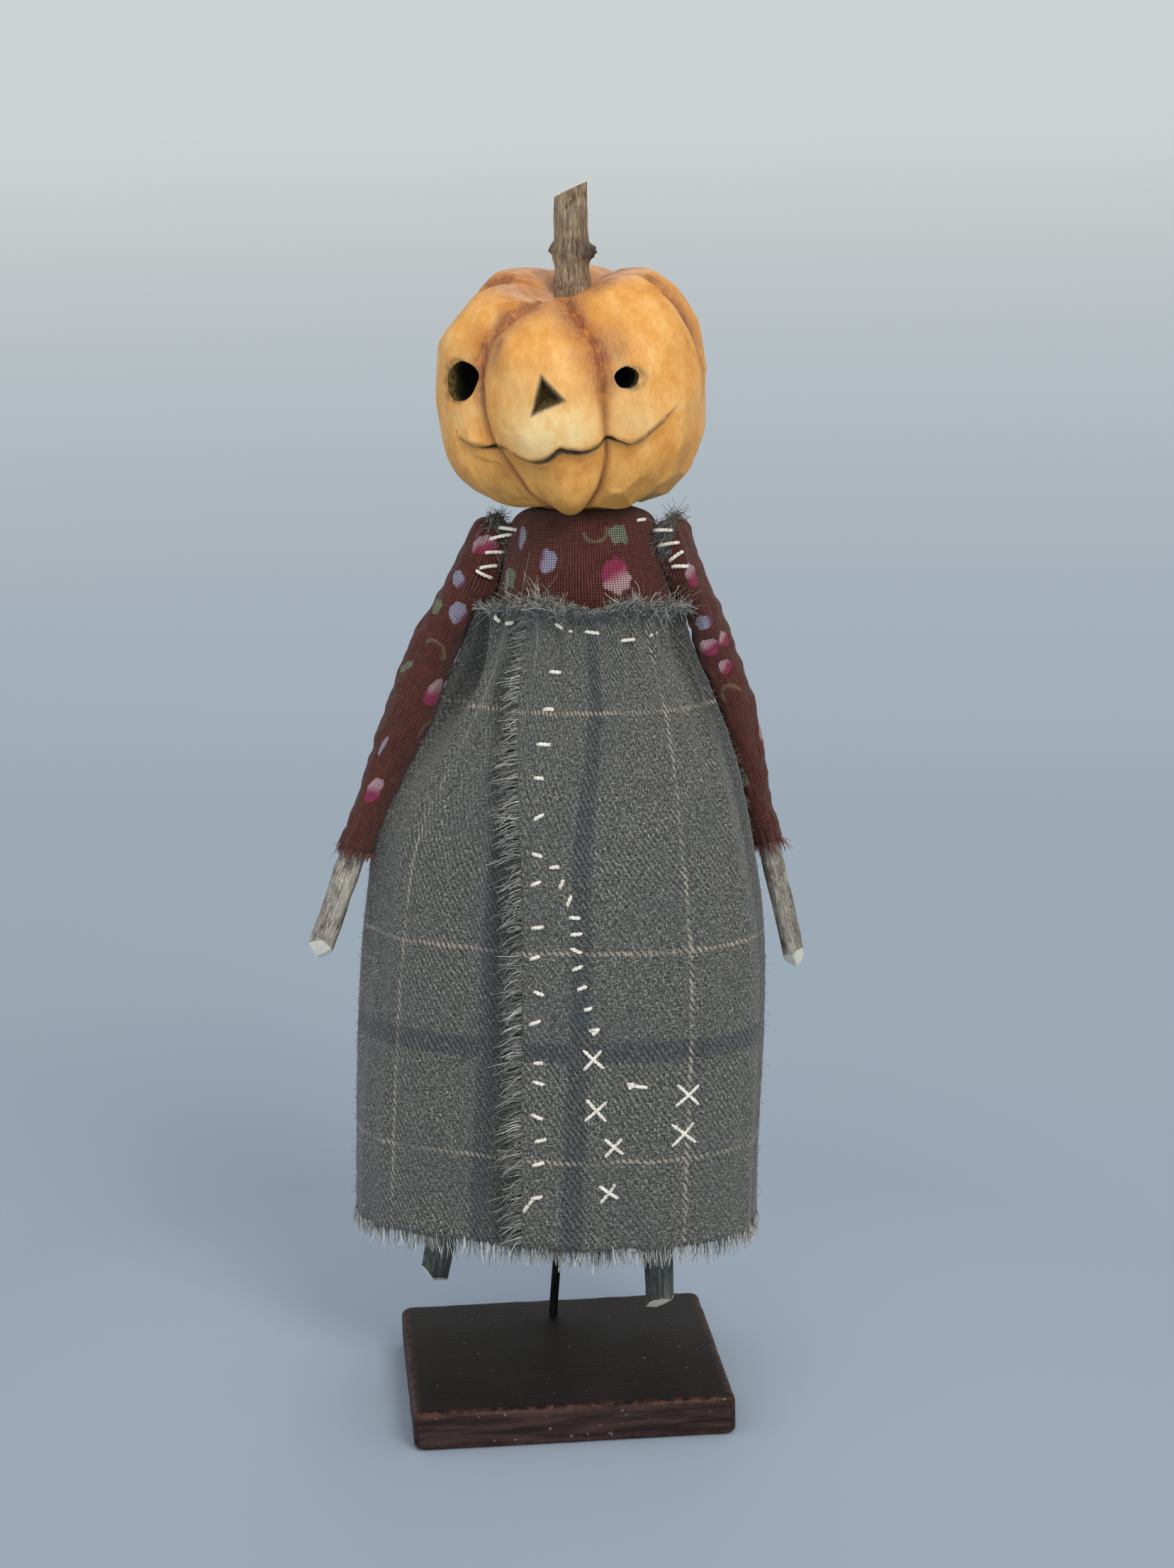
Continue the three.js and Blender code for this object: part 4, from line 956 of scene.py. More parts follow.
def subtract(target, tools):
    for tool in tools:
        change = target.modifiers.new(tool.name, "BOOLEAN")
        change.operation = "DIFFERENCE"
        change.object = tool
        change.solver = "EXACT"
        change.material_mode = "TRANSFER"
    graph = bpy.context.evaluated_depsgraph_get()
    shape = bpy.data.meshes.new_from_object(target.evaluated_get(graph))
    target.modifiers.clear()
    target.data = shape
    for tool in tools:
        bpy.data.objects.remove(tool)


def head_tools():
    """The drills of the two eyes and the knife's pit for the nose."""
    tools = []
    turn = turns(56)
    wobble = 1 + 0.035 * np.sin(2 * turn + 0.6) + 0.02 * np.sin(5 * turn)
    for side, (azimuth, height, radius) in EYES.items():
        narrow = 0.9 if side == "right" else 1.0
        ring = np.stack([np.cos(turn) * wobble * narrow, np.sin(turn) * wobble], -1) * radius
        depths = [TOOL_START, 0.4, 1.2, 2.4, 3.6, EYE_DEPTH - 1, EYE_DEPTH]
        outlines = [ring * k for k in (1, 1, 0.97, 0.94, 0.9, 0.82, 0.6)]
        tools.append(cutter(side + "_eye", outlines, depths, math.radians(azimuth), height, EYE_REACH))
    corners = np.array(NOSE_CORNERS)
    edge = np.concatenate([np.linspace(corners[k], corners[(k + 1) % 3], 12)[:-1] for k in range(3)])
    outlines = [lerp(edge, np.array(NOSE_FLOOR), share) for share in (0, 0, 0.12, 0.3, 0.62)]
    depths = [TOOL_START, 0.3, 1.2, 2.4, NOSE_DEPTH]
    tools.append(cutter("nose", outlines, depths, NOSE_AZIMUTH, NOSE_HEIGHT, NOSE_REACH))
    return tools


def head():
    points, values = carved_head()
    rows, columns = points.shape[:2]
    middle = np.array([HEAD_SIDEWAYS, 0, HEAD_CENTRE])
    place = points + middle
    everything = np.concatenate([place.reshape(-1, 3), place[[0, -1]].mean(1)])
    count = rows * columns
    ring = np.arange(columns)
    nxt = np.roll(ring, -1)
    last = (rows - 1) * columns
    bottom = np.stack([nxt, ring, np.full(columns, count)], -1)
    top = np.stack([last + ring, last + nxt, np.full(columns, count + 1)], -1)
    faces = [grid_faces(rows, columns, True, 0, True), bottom, top]
    maps = {"OFBake": np.concatenate([flat_map(rows, columns).reshape(-1, 2), [[0.5, 0.0], [0.5, 1.0]]])}
    numbers = {k: np.concatenate([v.ravel(), [0, 0]]) for k, v in values.items()}
    made = make("carved_head", everything, faces, [PUMPKIN, HOLLOW], maps=maps, values=numbers,
                slot="pumpkin_paint")
    subtract(made, head_tools())
    layers = made.data.attributes
    old = np.zeros(len(made.data.vertices), np.float32)
    layers["kept"].data.foreach_get("value", old)
    spots = np.zeros(3 * len(old))
    made.data.vertices.foreach_get("co", spots)
    spots = from_row(spots.reshape(-1, 3)) - middle
    reach = np.hypot(spots[:, 0], spots[:, 1])
    beside = np.abs(np.arctan2(spots[:, 0], -spots[:, 1]) - NOSE_AZIMUTH)
    # Painted shade: deep grows towards the bottom of the eye holes and the nose's pit
    deep = np.where(beside < 0.25, smooth(23.6, 19.8, reach), smooth(24.3, 22.2, reach))
    layers["deep"].data.foreach_set("value", deep.astype(np.float32))
    for title in ("soot_and_lip_shade", "line"):
        now = np.zeros(len(old), np.float32)
        layers[title].data.foreach_get("value", now)
        layers[title].data.foreach_set("value", np.where(old < 0.5, 1, now).astype(np.float32))
    made.data.set_sharp_from_angle(angle=SHARP_EDGE)
    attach(made, "doll")
    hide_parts("pumpkin_head")


head()


# Sticks with bark: the stem, the hands and the feet

def stick(name, top, toward, length, radius, material, body, node, cuts, knots, ridge, seed, slimming=0.0):
    """A twig from its top along its line, with cut ends.

    Each cut is a direction across in degrees, a slope and a distance from the end. Each knot is a place
    along, a height, a swelling and the direction in degrees of a bud, or None for a swelling all round.
    """
    columns = 56
    along = np.concatenate([np.linspace(0, length - 5, 70), np.linspace(length - 5, length, 34)[1:]])
    inward = np.linspace(1, 0.02, 15)[1:]
    reach = np.concatenate([[0.02, 0.5], np.ones(len(along)), inward])
    down = np.concatenate([[0, 0], along, np.full(len(inward), length)])
    a, t = np.meshgrid(turns(columns), down)
    circle = spun(a, 2.2, t / 7.0)
    rough = noise(circle, 0.55, seed) * ridge + noise(circle, 1.4, seed + 1) * ridge * 1.2
    wide = radius * (1 - slimming * t / length) + rough
    knot = np.zeros(t.shape)
    for at, height, swell, side in knots:
        near = bell(t - at, height, 4)
        if side is not None:
            aside = angle_near(a, math.radians(side))
            near = near * bell(aside, 0.52, 4)
            knot = np.maximum(knot, bell(t - at, 1.6 * height) * bell(aside, 0.9))
        wide = wide + swell * near * (1 + 0.55 * noise(spun(a, 3, t), 0.8, seed + 9))
    wide = wide * reach[:, None]
    bend = [noise(np.stack([t * 0 + k, t * 0, t], -1), 16.0, seed + 5) for k in (0.3, 9.3)]
    x = np.cos(a) * wide + 0.22 * bend[0] * smooth(0, 4, t)
    y = np.sin(a) * wide + 0.22 * bend[1] * smooth(0, 4, t)
    cut = np.zeros(t.shape)
    place = t
    for direction, slope, depth in cuts:
        direction = math.radians(direction)
        most = length - depth - slope * (x * math.cos(direction) + y * math.sin(direction))
        cut = np.where(place > most - 0.05, 1.0, cut)
        place = np.minimum(place, most)
    rows = len(down)
    cut = np.maximum(cut, (np.arange(rows) >= 2 + len(along))[:, None] * 1.0)
    z = unit(np.asarray(toward, float))
    across = unit(np.cross([0, 1, 0], z))
    points = np.asarray(top, float) + x[..., None] * across + y[..., None] * np.cross(z, across)
    maps = {"OFBake": flat_map(rows, columns), "cloth": np.stack([a * radius, t + 3.0 * seed], -1)}
    make(name, points + place[..., None] * z, tube_faces(rows, columns), material, body, maps,
         {"cut": cut, "knot": knot}, "bark", node)


STEM_SEAT = 194.4
STEM_TOP = 222.5
STEM_RADIUS = 3.1
STEM_CUTS = [(185, 0.46, 1.35)]
STEM_KNOTS = [(14.8, 1.8, 0.4, None), (15.4, 1.3, 1.15, -12), (16.2, 1.1, 0.6, 186), (8.5, 3.5, 0.3, None)]
stick("stem_bark", (HEAD_SIDEWAYS + 0.4, 0, STEM_SEAT), (0, 0, 1), STEM_TOP - STEM_SEAT, STEM_RADIUS,
      STEM_BARK, "doll", "stem_twig", STEM_CUTS, STEM_KNOTS, 0.2, 3)

LEG_LENGTH = 114.6
LEG_RADIUS = 2.85
LEG_TAPER = 0.04
LEG_PIN_INSET = 4.0
HIP_OFFSET = 11.53
HIP_FORWARD = -3.0
LEG_LEAN = {"left": math.radians(0.5), "right": math.radians(11.6)}
LEG_SEED = {"left": 11, "right": 14}
LEG_KNOTS = [(34, 2.5, 0.25, None), (71, 2.5, 0.25, None)]
FOOT_CUTS = {
    "left": [(250, 0.95, 0.3), (150, 0.8, 0.9), (40, 0.3, 0.3)],
    "right": [(320, 1.15, 0.4), (235, 0.6, 0.5), (100, 0.4, 0.4)],
}
for side, sign in SIDES.items():
    way = np.array([sign * math.sin(LEG_LEAN[side]), 0, -math.cos(LEG_LEAN[side])])
    pin = np.array([sign * HIP_OFFSET, HIP_FORWARD, HIP_HEIGHT])
    stick(side + "_leg_bark", pin - way * LEG_PIN_INSET, way, LEG_LENGTH, LEG_RADIUS, SHADED_LEG_BARK, side + "_leg",
          side + "_leg_twig", FOOT_CUTS[side], LEG_KNOTS, 0.16, LEG_SEED[side], LEG_TAPER)

# Skirt: one wool rectangle wound once round the waist. Angle 0 is the front and grows to the doll's left.
SKIRT_LENGTH = 122.0
SKIRT_HALF_WIDTH = 40.5
SKIRT_HALF_DEPTH = 23.0
WAIST_HALF_WIDTH = 17.2
TORSO_DEPTH_RATIO = 0.68
WAIST_GAP = 1.4
FRILL_HEIGHT = 4.0
SKIRT_OVERLAP = math.radians(44)
WOOL_THICKNESS = 0.9
BACK_FULLNESS = 21.0
WOVEN_DROP = 0.973
LAP_LAYER = 1.5
LAP_TOP_ANGLE = math.radians(-18)
LAP_HEM_ANGLE = math.radians(-2)
GATHERS = 27
FRILL_RADIUS = 17.0
HEM_ROUND = 236
# How near to the doll's side, as a share of the half width, the front can be read
SIDE_LIMIT = 0.98
# Heights, with the lap's woven edge to the doll's left and the fullness beside its right arm
LAP_LINE = [(20, -8.9), (45, -8.5), (70, -7.6), (95, -7.4), (113, -8.3), (126, -8.9), (147, -6.6)]
BILLOW_LINE = [
    (88, 0), (94, 0.4), (100, 1.2), (106, 1.25), (112, 1.3), (117, 1.75), (120, 2.2), (124, 3.1), (128, 4.0),
    (132, 4.2), (136, 3.7), (141, 2.8), (144, 1.5), (148, 0),
]


def drop_at(z):
    """How far down the skirt a height is, as a share of its length."""
    return (WAIST - np.asarray(z, float)) / SKIRT_LENGTH


def near_degrees(angle, middle, width):
    """1 at a direction round the skirt, easing to 0 a few widths aside."""
    return bell(angle_near(angle, math.radians(middle)), width)


def skirt_shape(drop):
    """The middle, the half width and the half depth of the skirt."""
    full = 1 - bell(np.maximum(drop, 0), 0.266, 1.71)
    centre = -5.3 * smooth(0.08, 0.4, drop) - 4.9 * smooth(0.3, 1.15, drop)
    wide = lerp(WAIST_HALF_WIDTH + WAIST_GAP, SKIRT_HALF_WIDTH, full)
    deep = lerp(WAIST_HALF_WIDTH * TORSO_DEPTH_RATIO + WAIST_GAP, SKIRT_HALF_DEPTH, full)
    return centre, wide, deep


def angle_of(x, drop, most=1.0, out=0.0):
    """The angle at the front that a distance to the doll's left is at."""
    centre, wide, _ = skirt_shape(drop)
    return np.arcsin(np.clip((x - centre) / (wide + out), -most, most))


def lap_reach(drop):
    """The angle that the outer layer is lifted from."""
    return lerp(LAP_TOP_ANGLE, LAP_HEM_ANGLE, np.maximum(drop, 0))


def lap_lift(wound):
    """How far the outer layer lies over the inner one, by the angle that it has gone."""
    return LAP_LAYER * (1 - smooth(SKIRT_OVERLAP * 1.1, SKIRT_OVERLAP * 2.1, wound))


def lap_edge(drop):
    """The angle of the woven edge of the lap, which hangs nearly straight down the front."""
    return angle_of(line_at(LAP_LINE, 120, WAIST - np.asarray(drop) * SKIRT_LENGTH), drop)


def frill_share(angle):
    """How much of the frill's height is still woven, which differs from place to place."""
    ring = np.stack([np.sin(angle), np.cos(angle), angle * 0], -1)
    ragged = 0.5 * noise(ring * 4.0, 0.7, 47) + 0.35 * noise(ring * 11.0, 0.6, 49)
    woven = lerp(0.3, 0.72, np.cos(angle) ** 2)
    return woven * (1 + np.clip(ragged, -0.7, 0.9)) * (1 + 0.3 * frill_tufts(angle))


def frill_tufts(angle):
    """Where the frill stands up in tufts along the front and where it lies low between them."""
    x = FRILL_RADIUS * np.sin(angle)
    tufts = bell(x + 3.2, 2.0) + 1.1 * bell(x - 11.0, 3.2) + 0.5 * bell(x + 9.5, 1.6)
    low = 0.8 * bell(x - 3.6, 2.6) + 0.5 * bell(x + 15, 2.5)
    return (tufts - low) * smooth(-0.1, 0.3, np.cos(angle))


def skirt_billow(angle, drop):
    """The fullness that hangs beside and behind the doll's right arm."""
    beside = line_at(BILLOW_LINE, 90, WAIST - drop * SKIRT_LENGTH) * near_degrees(angle, -80, 0.56)
    return beside + 2.0 * near_degrees(angle, -128, 0.4) * bell(drop - 0.11, 0.09)


def skirt_point(angle, drop, lift=None):
    angle, drop = np.broadcast_arrays(np.asarray(angle, float), np.asarray(drop, float))
    centre, wide, deep = skirt_shape(drop)
    lift = lap_lift(angle - lap_reach(drop)) if lift is None else lift
    ring = np.stack([np.sin(angle), np.cos(angle), drop * 0], -1)
    frontal = np.cos(angle) ** 2
    frill = smooth(0, FRILL_HEIGHT / SKIRT_LENGTH, -drop)
    out = lift + frill * (2.3 * frontal + 1.3)
    sway = ring * 3.0 + np.array([0, 0, 1.0]) * drop[..., None] * 0.9
    gather = np.cos(GATHERS * angle + 2.6 * noise(ring * 2.0, 0.8, 41))
    out = out + 0.6 * gather * bell(drop, 0.11) * (1 - 0.6 * frill)
    out = out + skirt_billow(angle, drop)
    out = out + 1.7 * frill * noise(ring * 5.0, 0.55, 42) * (0.4 + frontal)
    fold = smooth(0.02, 0.2, drop) * (1 - 0.45 * smooth(0.3, 0.9, drop))
    out = out + 1.15 * fold * noise(sway, 0.72, 43) - 0.35 * fold
    fine = noise(sway * [1, 1, 0.4], 0.26, 44) * (1 - 0.7 * smooth(0.1, 0.5, drop))
    out = out + 0.55 * smooth(0.02, 0.12, drop) * fine
    hem = smooth(0.62, 1.0, drop)
    out = out + 1.0 * hem * noise(ring * 3.0, 0.9, 45)
    out = out - 3.4 * near_degrees(angle, -62, 0.2) * bell(drop - 0.1, 0.075)
    out = out - 1.3 * near_degrees(angle, 66, 0.16) * bell(drop - 0.07, 0.06)
    out = out + 0.12 * noise(np.stack([angle * 9, drop * 60, angle * 0], -1), 1.1, 46)
    fall = np.where(drop < 0, drop * frill_share(angle), drop)
    fall = fall - 0.006 * hem * noise(ring * 3.0, 0.8, 48)
    x = centre + (wide + out) * np.sin(angle)
    y = -(deep + out) * np.cos(angle)
    return np.stack([x, y, WAIST - fall * SKIRT_LENGTH], -1)


def skirt_at(x, z):
    """A place on the lap's outer face at the front, at a distance to the doll's left and a height."""
    drop = drop_at(z)
    wide = skirt_shape(drop)[1]
    angle = angle_of(x, drop, SIDE_LIMIT, 1.0)
    for _ in range(3):
        off = skirt_point(angle, drop)[..., 0] - x
        angle = np.clip(angle - off / (wide * np.maximum(np.cos(angle), 0.25)), -1.4, 1.4)
    return angle, drop


def skirt_normal(angle, drop):
    step = 0.004
    side = skirt_point(angle + step, drop) - skirt_point(angle - step, drop)
    down = skirt_point(angle, drop + step) - skirt_point(angle, drop - step)
    return unit(np.cross(down, side))


def cloth_across(angle):
    """Millimetres of cloth from the front to an angle, with the fullness that is gathered at the back."""
    fine = np.linspace(-1.2, 2 * np.pi + 1.6, 900)
    pace = np.hypot(SKIRT_HALF_WIDTH * np.cos(fine), SKIRT_HALF_DEPTH * np.sin(fine))
    total = np.concatenate([[0], np.cumsum((pace[1:] + pace[:-1]) / 2 * np.diff(fine))])
    total = total - np.interp(0, fine, total) + BACK_FULLNESS * smooth(1.2, 5.0, fine)
    return np.interp(angle, fine, total)


def skirt_painted_shade(angle, drop):
    """How dark the wool is painted where shade falls: in the folds beside the arms, and as a painted shadow
    under the edge of the lap.
    """
    high = smooth(0.27, 0.1, drop) * smooth(-0.03, 0.01, drop)
    arms = np.maximum(near_degrees(angle, -68, 0.21), 0.8 * near_degrees(angle, 78, 0.13)) * high
    beside = (lap_edge(drop) - (angle - 2 * np.pi)) * skirt_shape(drop)[1]
    lap = 0.75 * smooth(-4, 0.5, beside) * smooth(8.8, 4.8, beside) * smooth(0.0, 0.12, drop)
    return np.maximum(arms, np.where(angle > np.pi, lap, 0))


def skirt_ends(drop):
    """The angles that the wrapped cloth goes from and to."""
    return lap_edge(drop), lap_reach(drop) + 2 * np.pi + SKIRT_OVERLAP


def skirt():
    upper = np.linspace(-FRILL_HEIGHT / SKIRT_LENGTH, 0.2, 50)
    drops = np.concatenate([upper, np.linspace(0.2, WOVEN_DROP, 82)[1:]])[:, None]
    start, end = skirt_ends(drops)
    angle = start + (end - start) * np.linspace(0, 1, 372)
    drop = np.broadcast_to(drops, angle.shape)
    cloth = np.stack([cloth_across(angle), drop * SKIRT_LENGTH], -1)
    # The painted shade of the folds and under the lap goes onto the cloth as numbers by vertex
    return cloth_sheet("wool_skirt", skirt_point(angle, drop), WOOL_THICKNESS, cloth, WOOL,
                       values={"painted_shade": skirt_painted_shade(angle, drop)}, body="doll", slot="wool", node="skirt")


skirt_cloth = skirt()


# Frayed edges and fuzz of the wool

def curled(start, way, length, droop, curl, seed, steps=7):
    """Loose yarns from their places, each with its own way, length and bend."""
    chance = np.random.default_rng(seed)
    share = np.linspace(0, 1, steps)[None, :, None]
    curl = np.asarray(curl).reshape(-1, 1, 1)
    bend = chance.normal(0, 1, (len(start), 1, 3)) * curl
    twist = chance.normal(0, 1, (len(start), 1, 3)) * curl * 0.6
    path = way[:, None] * share + bend * share ** 2 + twist * np.sin(share * 5.5) * 0.35
    path = path + np.array([0, 0, -1.0]) * droop * share ** 2
    return start[:, None] + path * np.asarray(length).reshape(-1, 1, 1)


def yarns(name, paths, chance, thin, thick, middle, spread, low, material, sides=4, tone=0.0, **more):
    """Curled yarns with chance tones and thicknesses, thinner towards their tips."""
    count, steps = paths.shape[:2]
    tone = np.clip(middle + spread * chance.normal(0, 1, count) + tone, low, 1)
    radius = chance.uniform(thin, thick, count)
    return strands(name, paths, taper(radius, steps), material, sides, tone, **more)


def taper(radius, steps, tip=0.35):
    return np.asarray(radius).reshape(-1, 1) * np.linspace(1, tip, steps)[None]


def hem_fringe():
    chance = np.random.default_rng(61)
    count = 1700
    share = (np.arange(count) + chance.uniform(-0.4, 0.4, count)) / count
    angle = lerp(*skirt_ends(1.0), share)
    start = skirt_point(angle, np.full(count, WOVEN_DROP - 0.006))
    normal = skirt_normal(angle, np.full(count, WOVEN_DROP - 0.03))
    start = start - normal * chance.uniform(0.05, WOOL_THICKNESS, count)[:, None]
    way = np.array([0, 0, -1.0]) + normal * chance.normal(0.06, 0.12, count)[:, None]
    clump = noise_along(share * HEM_ROUND, 1.6, 63)
    way = unit(way + sideways_at(angle) * (0.3 * clump + chance.normal(0, 0.14, count))[:, None])
    length = chance.uniform(2.2, 4.6, count) * (1 + 0.25 * clump)
    paths = curled(start, way, length, 0.05, chance.uniform(0.03, 0.14, count), 64)
    return yarns("hem_fringe", paths, chance, 0.09, 0.17, 0.42, 0.2, 0.05, HEM_YARN, body="doll", slot="wool")


def lap_fringe():
    chance = np.random.default_rng(71)
    count = 900
    z = np.linspace(25.0, 144, count) + chance.uniform(-0.12, 0.12, count)
    drop = drop_at(z)
    angle = lap_edge(drop) + 0.012
    normal = skirt_normal(angle + 0.03, drop)
    start = skirt_point(angle, drop) - normal * chance.uniform(0.1, 0.8, count)[:, None]
    clump = noise_along(z, 2.6, 72)
    way = np.array([-1.0, 0, 0]) + normal * chance.normal(0.1, 0.1, count)[:, None]
    way = way + np.array([0, 0, 1.0]) * (-0.15 + 0.5 * clump + chance.normal(0, 0.16, count))[:, None]
    length = chance.uniform(2.8, 5.4, count) * (1 + 0.3 * clump) * lerp(0.6, 1.0, smooth(140, 118, z))
    paths = keep_out(curled(start, unit(way), length, 0.25, chance.uniform(0.05, 0.22, count), 73))
    return yarns("lap_fringe", paths, chance, 0.09, 0.17, 0.5, 0.18, 0.1, LAP_YARN, body="doll", slot="wool")


def keep_out(paths):
    """Lays yarns on the skirt where they would sink into the layer under the lap."""
    x, y, z = np.moveaxis(paths, -1, 0)
    drop = drop_at(z)
    face = skirt_point(angle_of(x, drop, SIDE_LIMIT), drop, 0.0)[..., 1] - 0.25
    return np.stack([x, np.minimum(y, face), z], -1)


def frill_fringe():
    """Loose yarns in uneven clumps along the raw edge over the gathers."""
    chance = np.random.default_rng(81)
    count = 4500
    angle = np.sort(chance.uniform(-math.pi, math.pi, count))
    drop = -FRILL_HEIGHT / SKIRT_LENGTH * chance.uniform(0, 1, count) ** 0.6
    lift = LAP_LAYER * smooth(-0.45, -0.3, angle) * (1 - smooth(0.85, 1.6, angle))
    outward = outward_at(angle)
    start = skirt_point(angle, drop, lift) + outward * chance.uniform(-0.7, 0.15, count)[:, None]
    at = angle * FRILL_RADIUS
    lock = noise_along(at, 1.3, 84)
    tufts = frill_tufts(angle)
    tall = np.clip(0.6 + 0.5 * noise_along(at, 4.2, 82) + 0.35 * lock + 0.55 * tufts, 0.15, 1.7)
    bunch = np.maximum(near_degrees(angle, 72, 0.4), 0.9 * near_degrees(angle, -74, 0.3))
    flare = 0.45 + 0.35 * lock + 0.5 * bunch - 0.25 * tufts
    way = np.array([0, 0, 0.8]) + outward * (flare + chance.normal(0, 0.3, count))[:, None]
    aside = 0.9 * noise_along(at, 2.4, 85) + 0.7 * lock + chance.normal(0, 0.28, count)
    way = way + sideways_at(angle) * aside[:, None]
    shown = np.maximum(lerp(0.6, 1.0, np.cos(angle) ** 2), 0.9 * bunch)
    length = np.minimum(chance.uniform(1.4, 4.0, count) * shown * tall, 4.2)
    paths = curled(start, unit(way), length, 0.35, chance.uniform(0.25, 0.85, count), 83, 8)
    return yarns("frill_fringe", paths, chance, 0.06, 0.13, 0.5, 0.24, 0.02, WOOL_YARN, 3, 0.22 * lock,
                 body="doll", slot="wool")


def wool_fuzz():
    chance = np.random.default_rng(91)
    count = 9500
    angle = chance.uniform(-math.pi, math.pi, count)
    drop = chance.uniform(-0.02, WOVEN_DROP, count)
    front = angle > lap_edge(drop) + 0.02
    start = skirt_point(angle, drop, np.where(front, LAP_LAYER * (1 - smooth(0.85, 1.6, angle)), 0.0))
    outward = outward_at(angle)
    way = unit(outward * 0.55 + chance.normal(0, 0.6, (count, 3)))
    way = way + outward * np.maximum(0, 0.25 - (way * outward).sum(-1))[:, None]
    length = 0.3 + 1.3 * chance.uniform(0, 1, count) ** 2.2
    paths = curled(start, way, length, 0.1, chance.uniform(0.15, 0.5, count), 92, 4)
    tone = np.clip(0.5 + 0.22 * chance.normal(0, 1, count), 0.05, 1)
    return strands("wool_fuzz", paths, taper(np.full(count, 0.035), 4, 0.5), WOOL_YARN, 3, tone,
                   body="doll", slot="wool")


edges = [hem_fringe(), lap_fringe(), frill_fringe(), wool_fuzz()]

# Stitches in cream thread. Heights come first in the line down the lap.
THREAD_RADIUS = 0.26
KNOT_RADIUS = 0.22
THREAD_TWIST = 1.5
LAP_STITCH_LINE = [
    (34, -5.5), (50, -4.8), (75, -4.8), (98, -4.2), (113, -4.6), (121, -3.2), (128, -2.6), (142, -1.0),
]
LAP_STITCHES = [
    34.5, 40.8, 45.4, 50.2, 56.5, 60.5, 68.3, 74.0, 80.8, 86.5, 94.4, 100.4, 106.9, 114.1, 120.2, 126.6,
    133.5,
]
CURVE_STITCH_LINE = [(-1.2, 97.9), (2.6, 88.5), (3.0, 79), (5.9, 67.2)]
# Single stitches and crosses: distance to the doll's left, height, length and slope in degrees
LAP_END_STITCHES = [(-7.4, 32.6, 3.3, 52), (-0.6, 141.6, 3.4, -24)]
CROSSES = [
    (5.5, 61.4, 5.3, 4), (5.8, 51.5, 5.6, -3), (8.8, 44.3, 4.7, 2), (7.6, 35.4, 4.5, 6),
    (22.1, 53.7, 5.8, -2), (21.2, 46.2, 5.9, 3),
]
OTHER_STITCHES = [
    (13.6, 56.1, 3.2, -10), (-14.6, 142.6, 1.7, -40), (-11.4, 142.0, 1.4, 10), (5.0, 140.8, 2.6, -8),
    (11.4, 139.2, 2.2, 2), (15.4, 139.8, 1.1, 20),
]
KNOTS = [(5.9, 67.0), (12.2, 56.4)]


def stitches(name, starts, ends, normals, rise=0.42, steps=13, **more):
    """Two twisted plies for each stitch, which comes out of the cloth and goes back into it."""
    share = np.linspace(0, 1, steps)[None, :, None]
    line = starts[:, None] * (1 - share) + ends[:, None] * share
    arch = np.clip(np.sin(np.pi * share), 0, 1) ** 0.55
    line = line + normals[:, None] * (rise * arch * 1.35 - 0.35)
    side = np.cross(unit(ends - starts), normals)
    long = np.linalg.norm(ends - starts, axis=-1)[:, None, None]
    turn = 2 * np.pi * share * long / THREAD_TWIST
    plies = []
    for phase in (0, np.pi):
        twist = np.cos(turn + phase) * side[:, None] + np.sin(turn + phase) * normals[:, None]
        plies.append(line + 0.15 * twist)
    return strands(name, np.concatenate(plies), THREAD_RADIUS, THREAD, 8, slot="calico", **more)


def skirt_stitches():
    chance = np.random.default_rng(101)
    wanted = []
    for z in LAP_STITCHES:
        x = line_at(LAP_STITCH_LINE, 100, z)
        place = [x + chance.normal(0, 0.3), z + chance.normal(0, 0.15)]
        wanted.append((*place, chance.uniform(1.7, 2.5), chance.normal(0, 14)))
    wanted += LAP_END_STITCHES
    for k, (x, z) in enumerate(through(CURVE_STITCH_LINE, 10)):
        slope = 65 if k in (1, 2) else chance.normal(10, 16)
        wanted.append((x, z, chance.uniform(1.3, 2.2), slope))
    for x, z, size, turn in CROSSES:
        wanted += [(x, z, size, 45 + turn), (x + 0.15, z + 0.2, size, 132 + turn)]
    x, z, size, slope = np.array(wanted + OTHER_STITCHES).T
    dx = np.cos(np.radians(slope)) * size / 2
    dz = np.sin(np.radians(slope)) * size / 2
    starts = skirt_point(*skirt_at(x - dx, z - dz))
    ends = skirt_point(*skirt_at(x + dx, z + dz))
    made = stitches("skirt_stitches", starts, ends, skirt_normal(*skirt_at(x, z)), body="doll")
    return [made] + [knot(k, *skirt_at(*place)) for k, place in enumerate(KNOTS)]


def knot(number, angle, drop):
    """A small overhand knot of the sewing thread."""
    normal = skirt_normal(angle, drop)
    turn = np.linspace(0, 2 * np.pi * 1.15, 60)
    side = unit(np.cross(normal, [0.1, 0.2, 1.0]))
    up = np.cross(side, normal)
    x = np.sin(turn) + 2 * np.sin(2 * turn)
    y = np.cos(turn) - 2 * np.cos(2 * turn)
    wave = np.stack([x, y, -np.sin(3 * turn)], -1) * 0.2
    path = skirt_point(angle, drop) + normal * 0.45 + wave @ np.array([side, up, normal])
    return strands("thread_knot_%d" % number, path[None], KNOT_RADIUS, THREAD, 8, body="doll", slot="calico")


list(skirt_stitches())

# Calico bodice and sleeves. A motif is a kind, a place on the cloth in millimetres, half sizes and a turn.
CALICO_THICKNESS = 0.5
SLEEVE_THICKNESS = 0.4
SHOULDER_HALF_WIDTH = 14.0
NECK_HALF_WIDTH = 7.0
PEG_HALF_WIDTH = 7.5
CROWN_ROUNDNESS = 2.4
LEAF_ROUNDNESS = 3.5
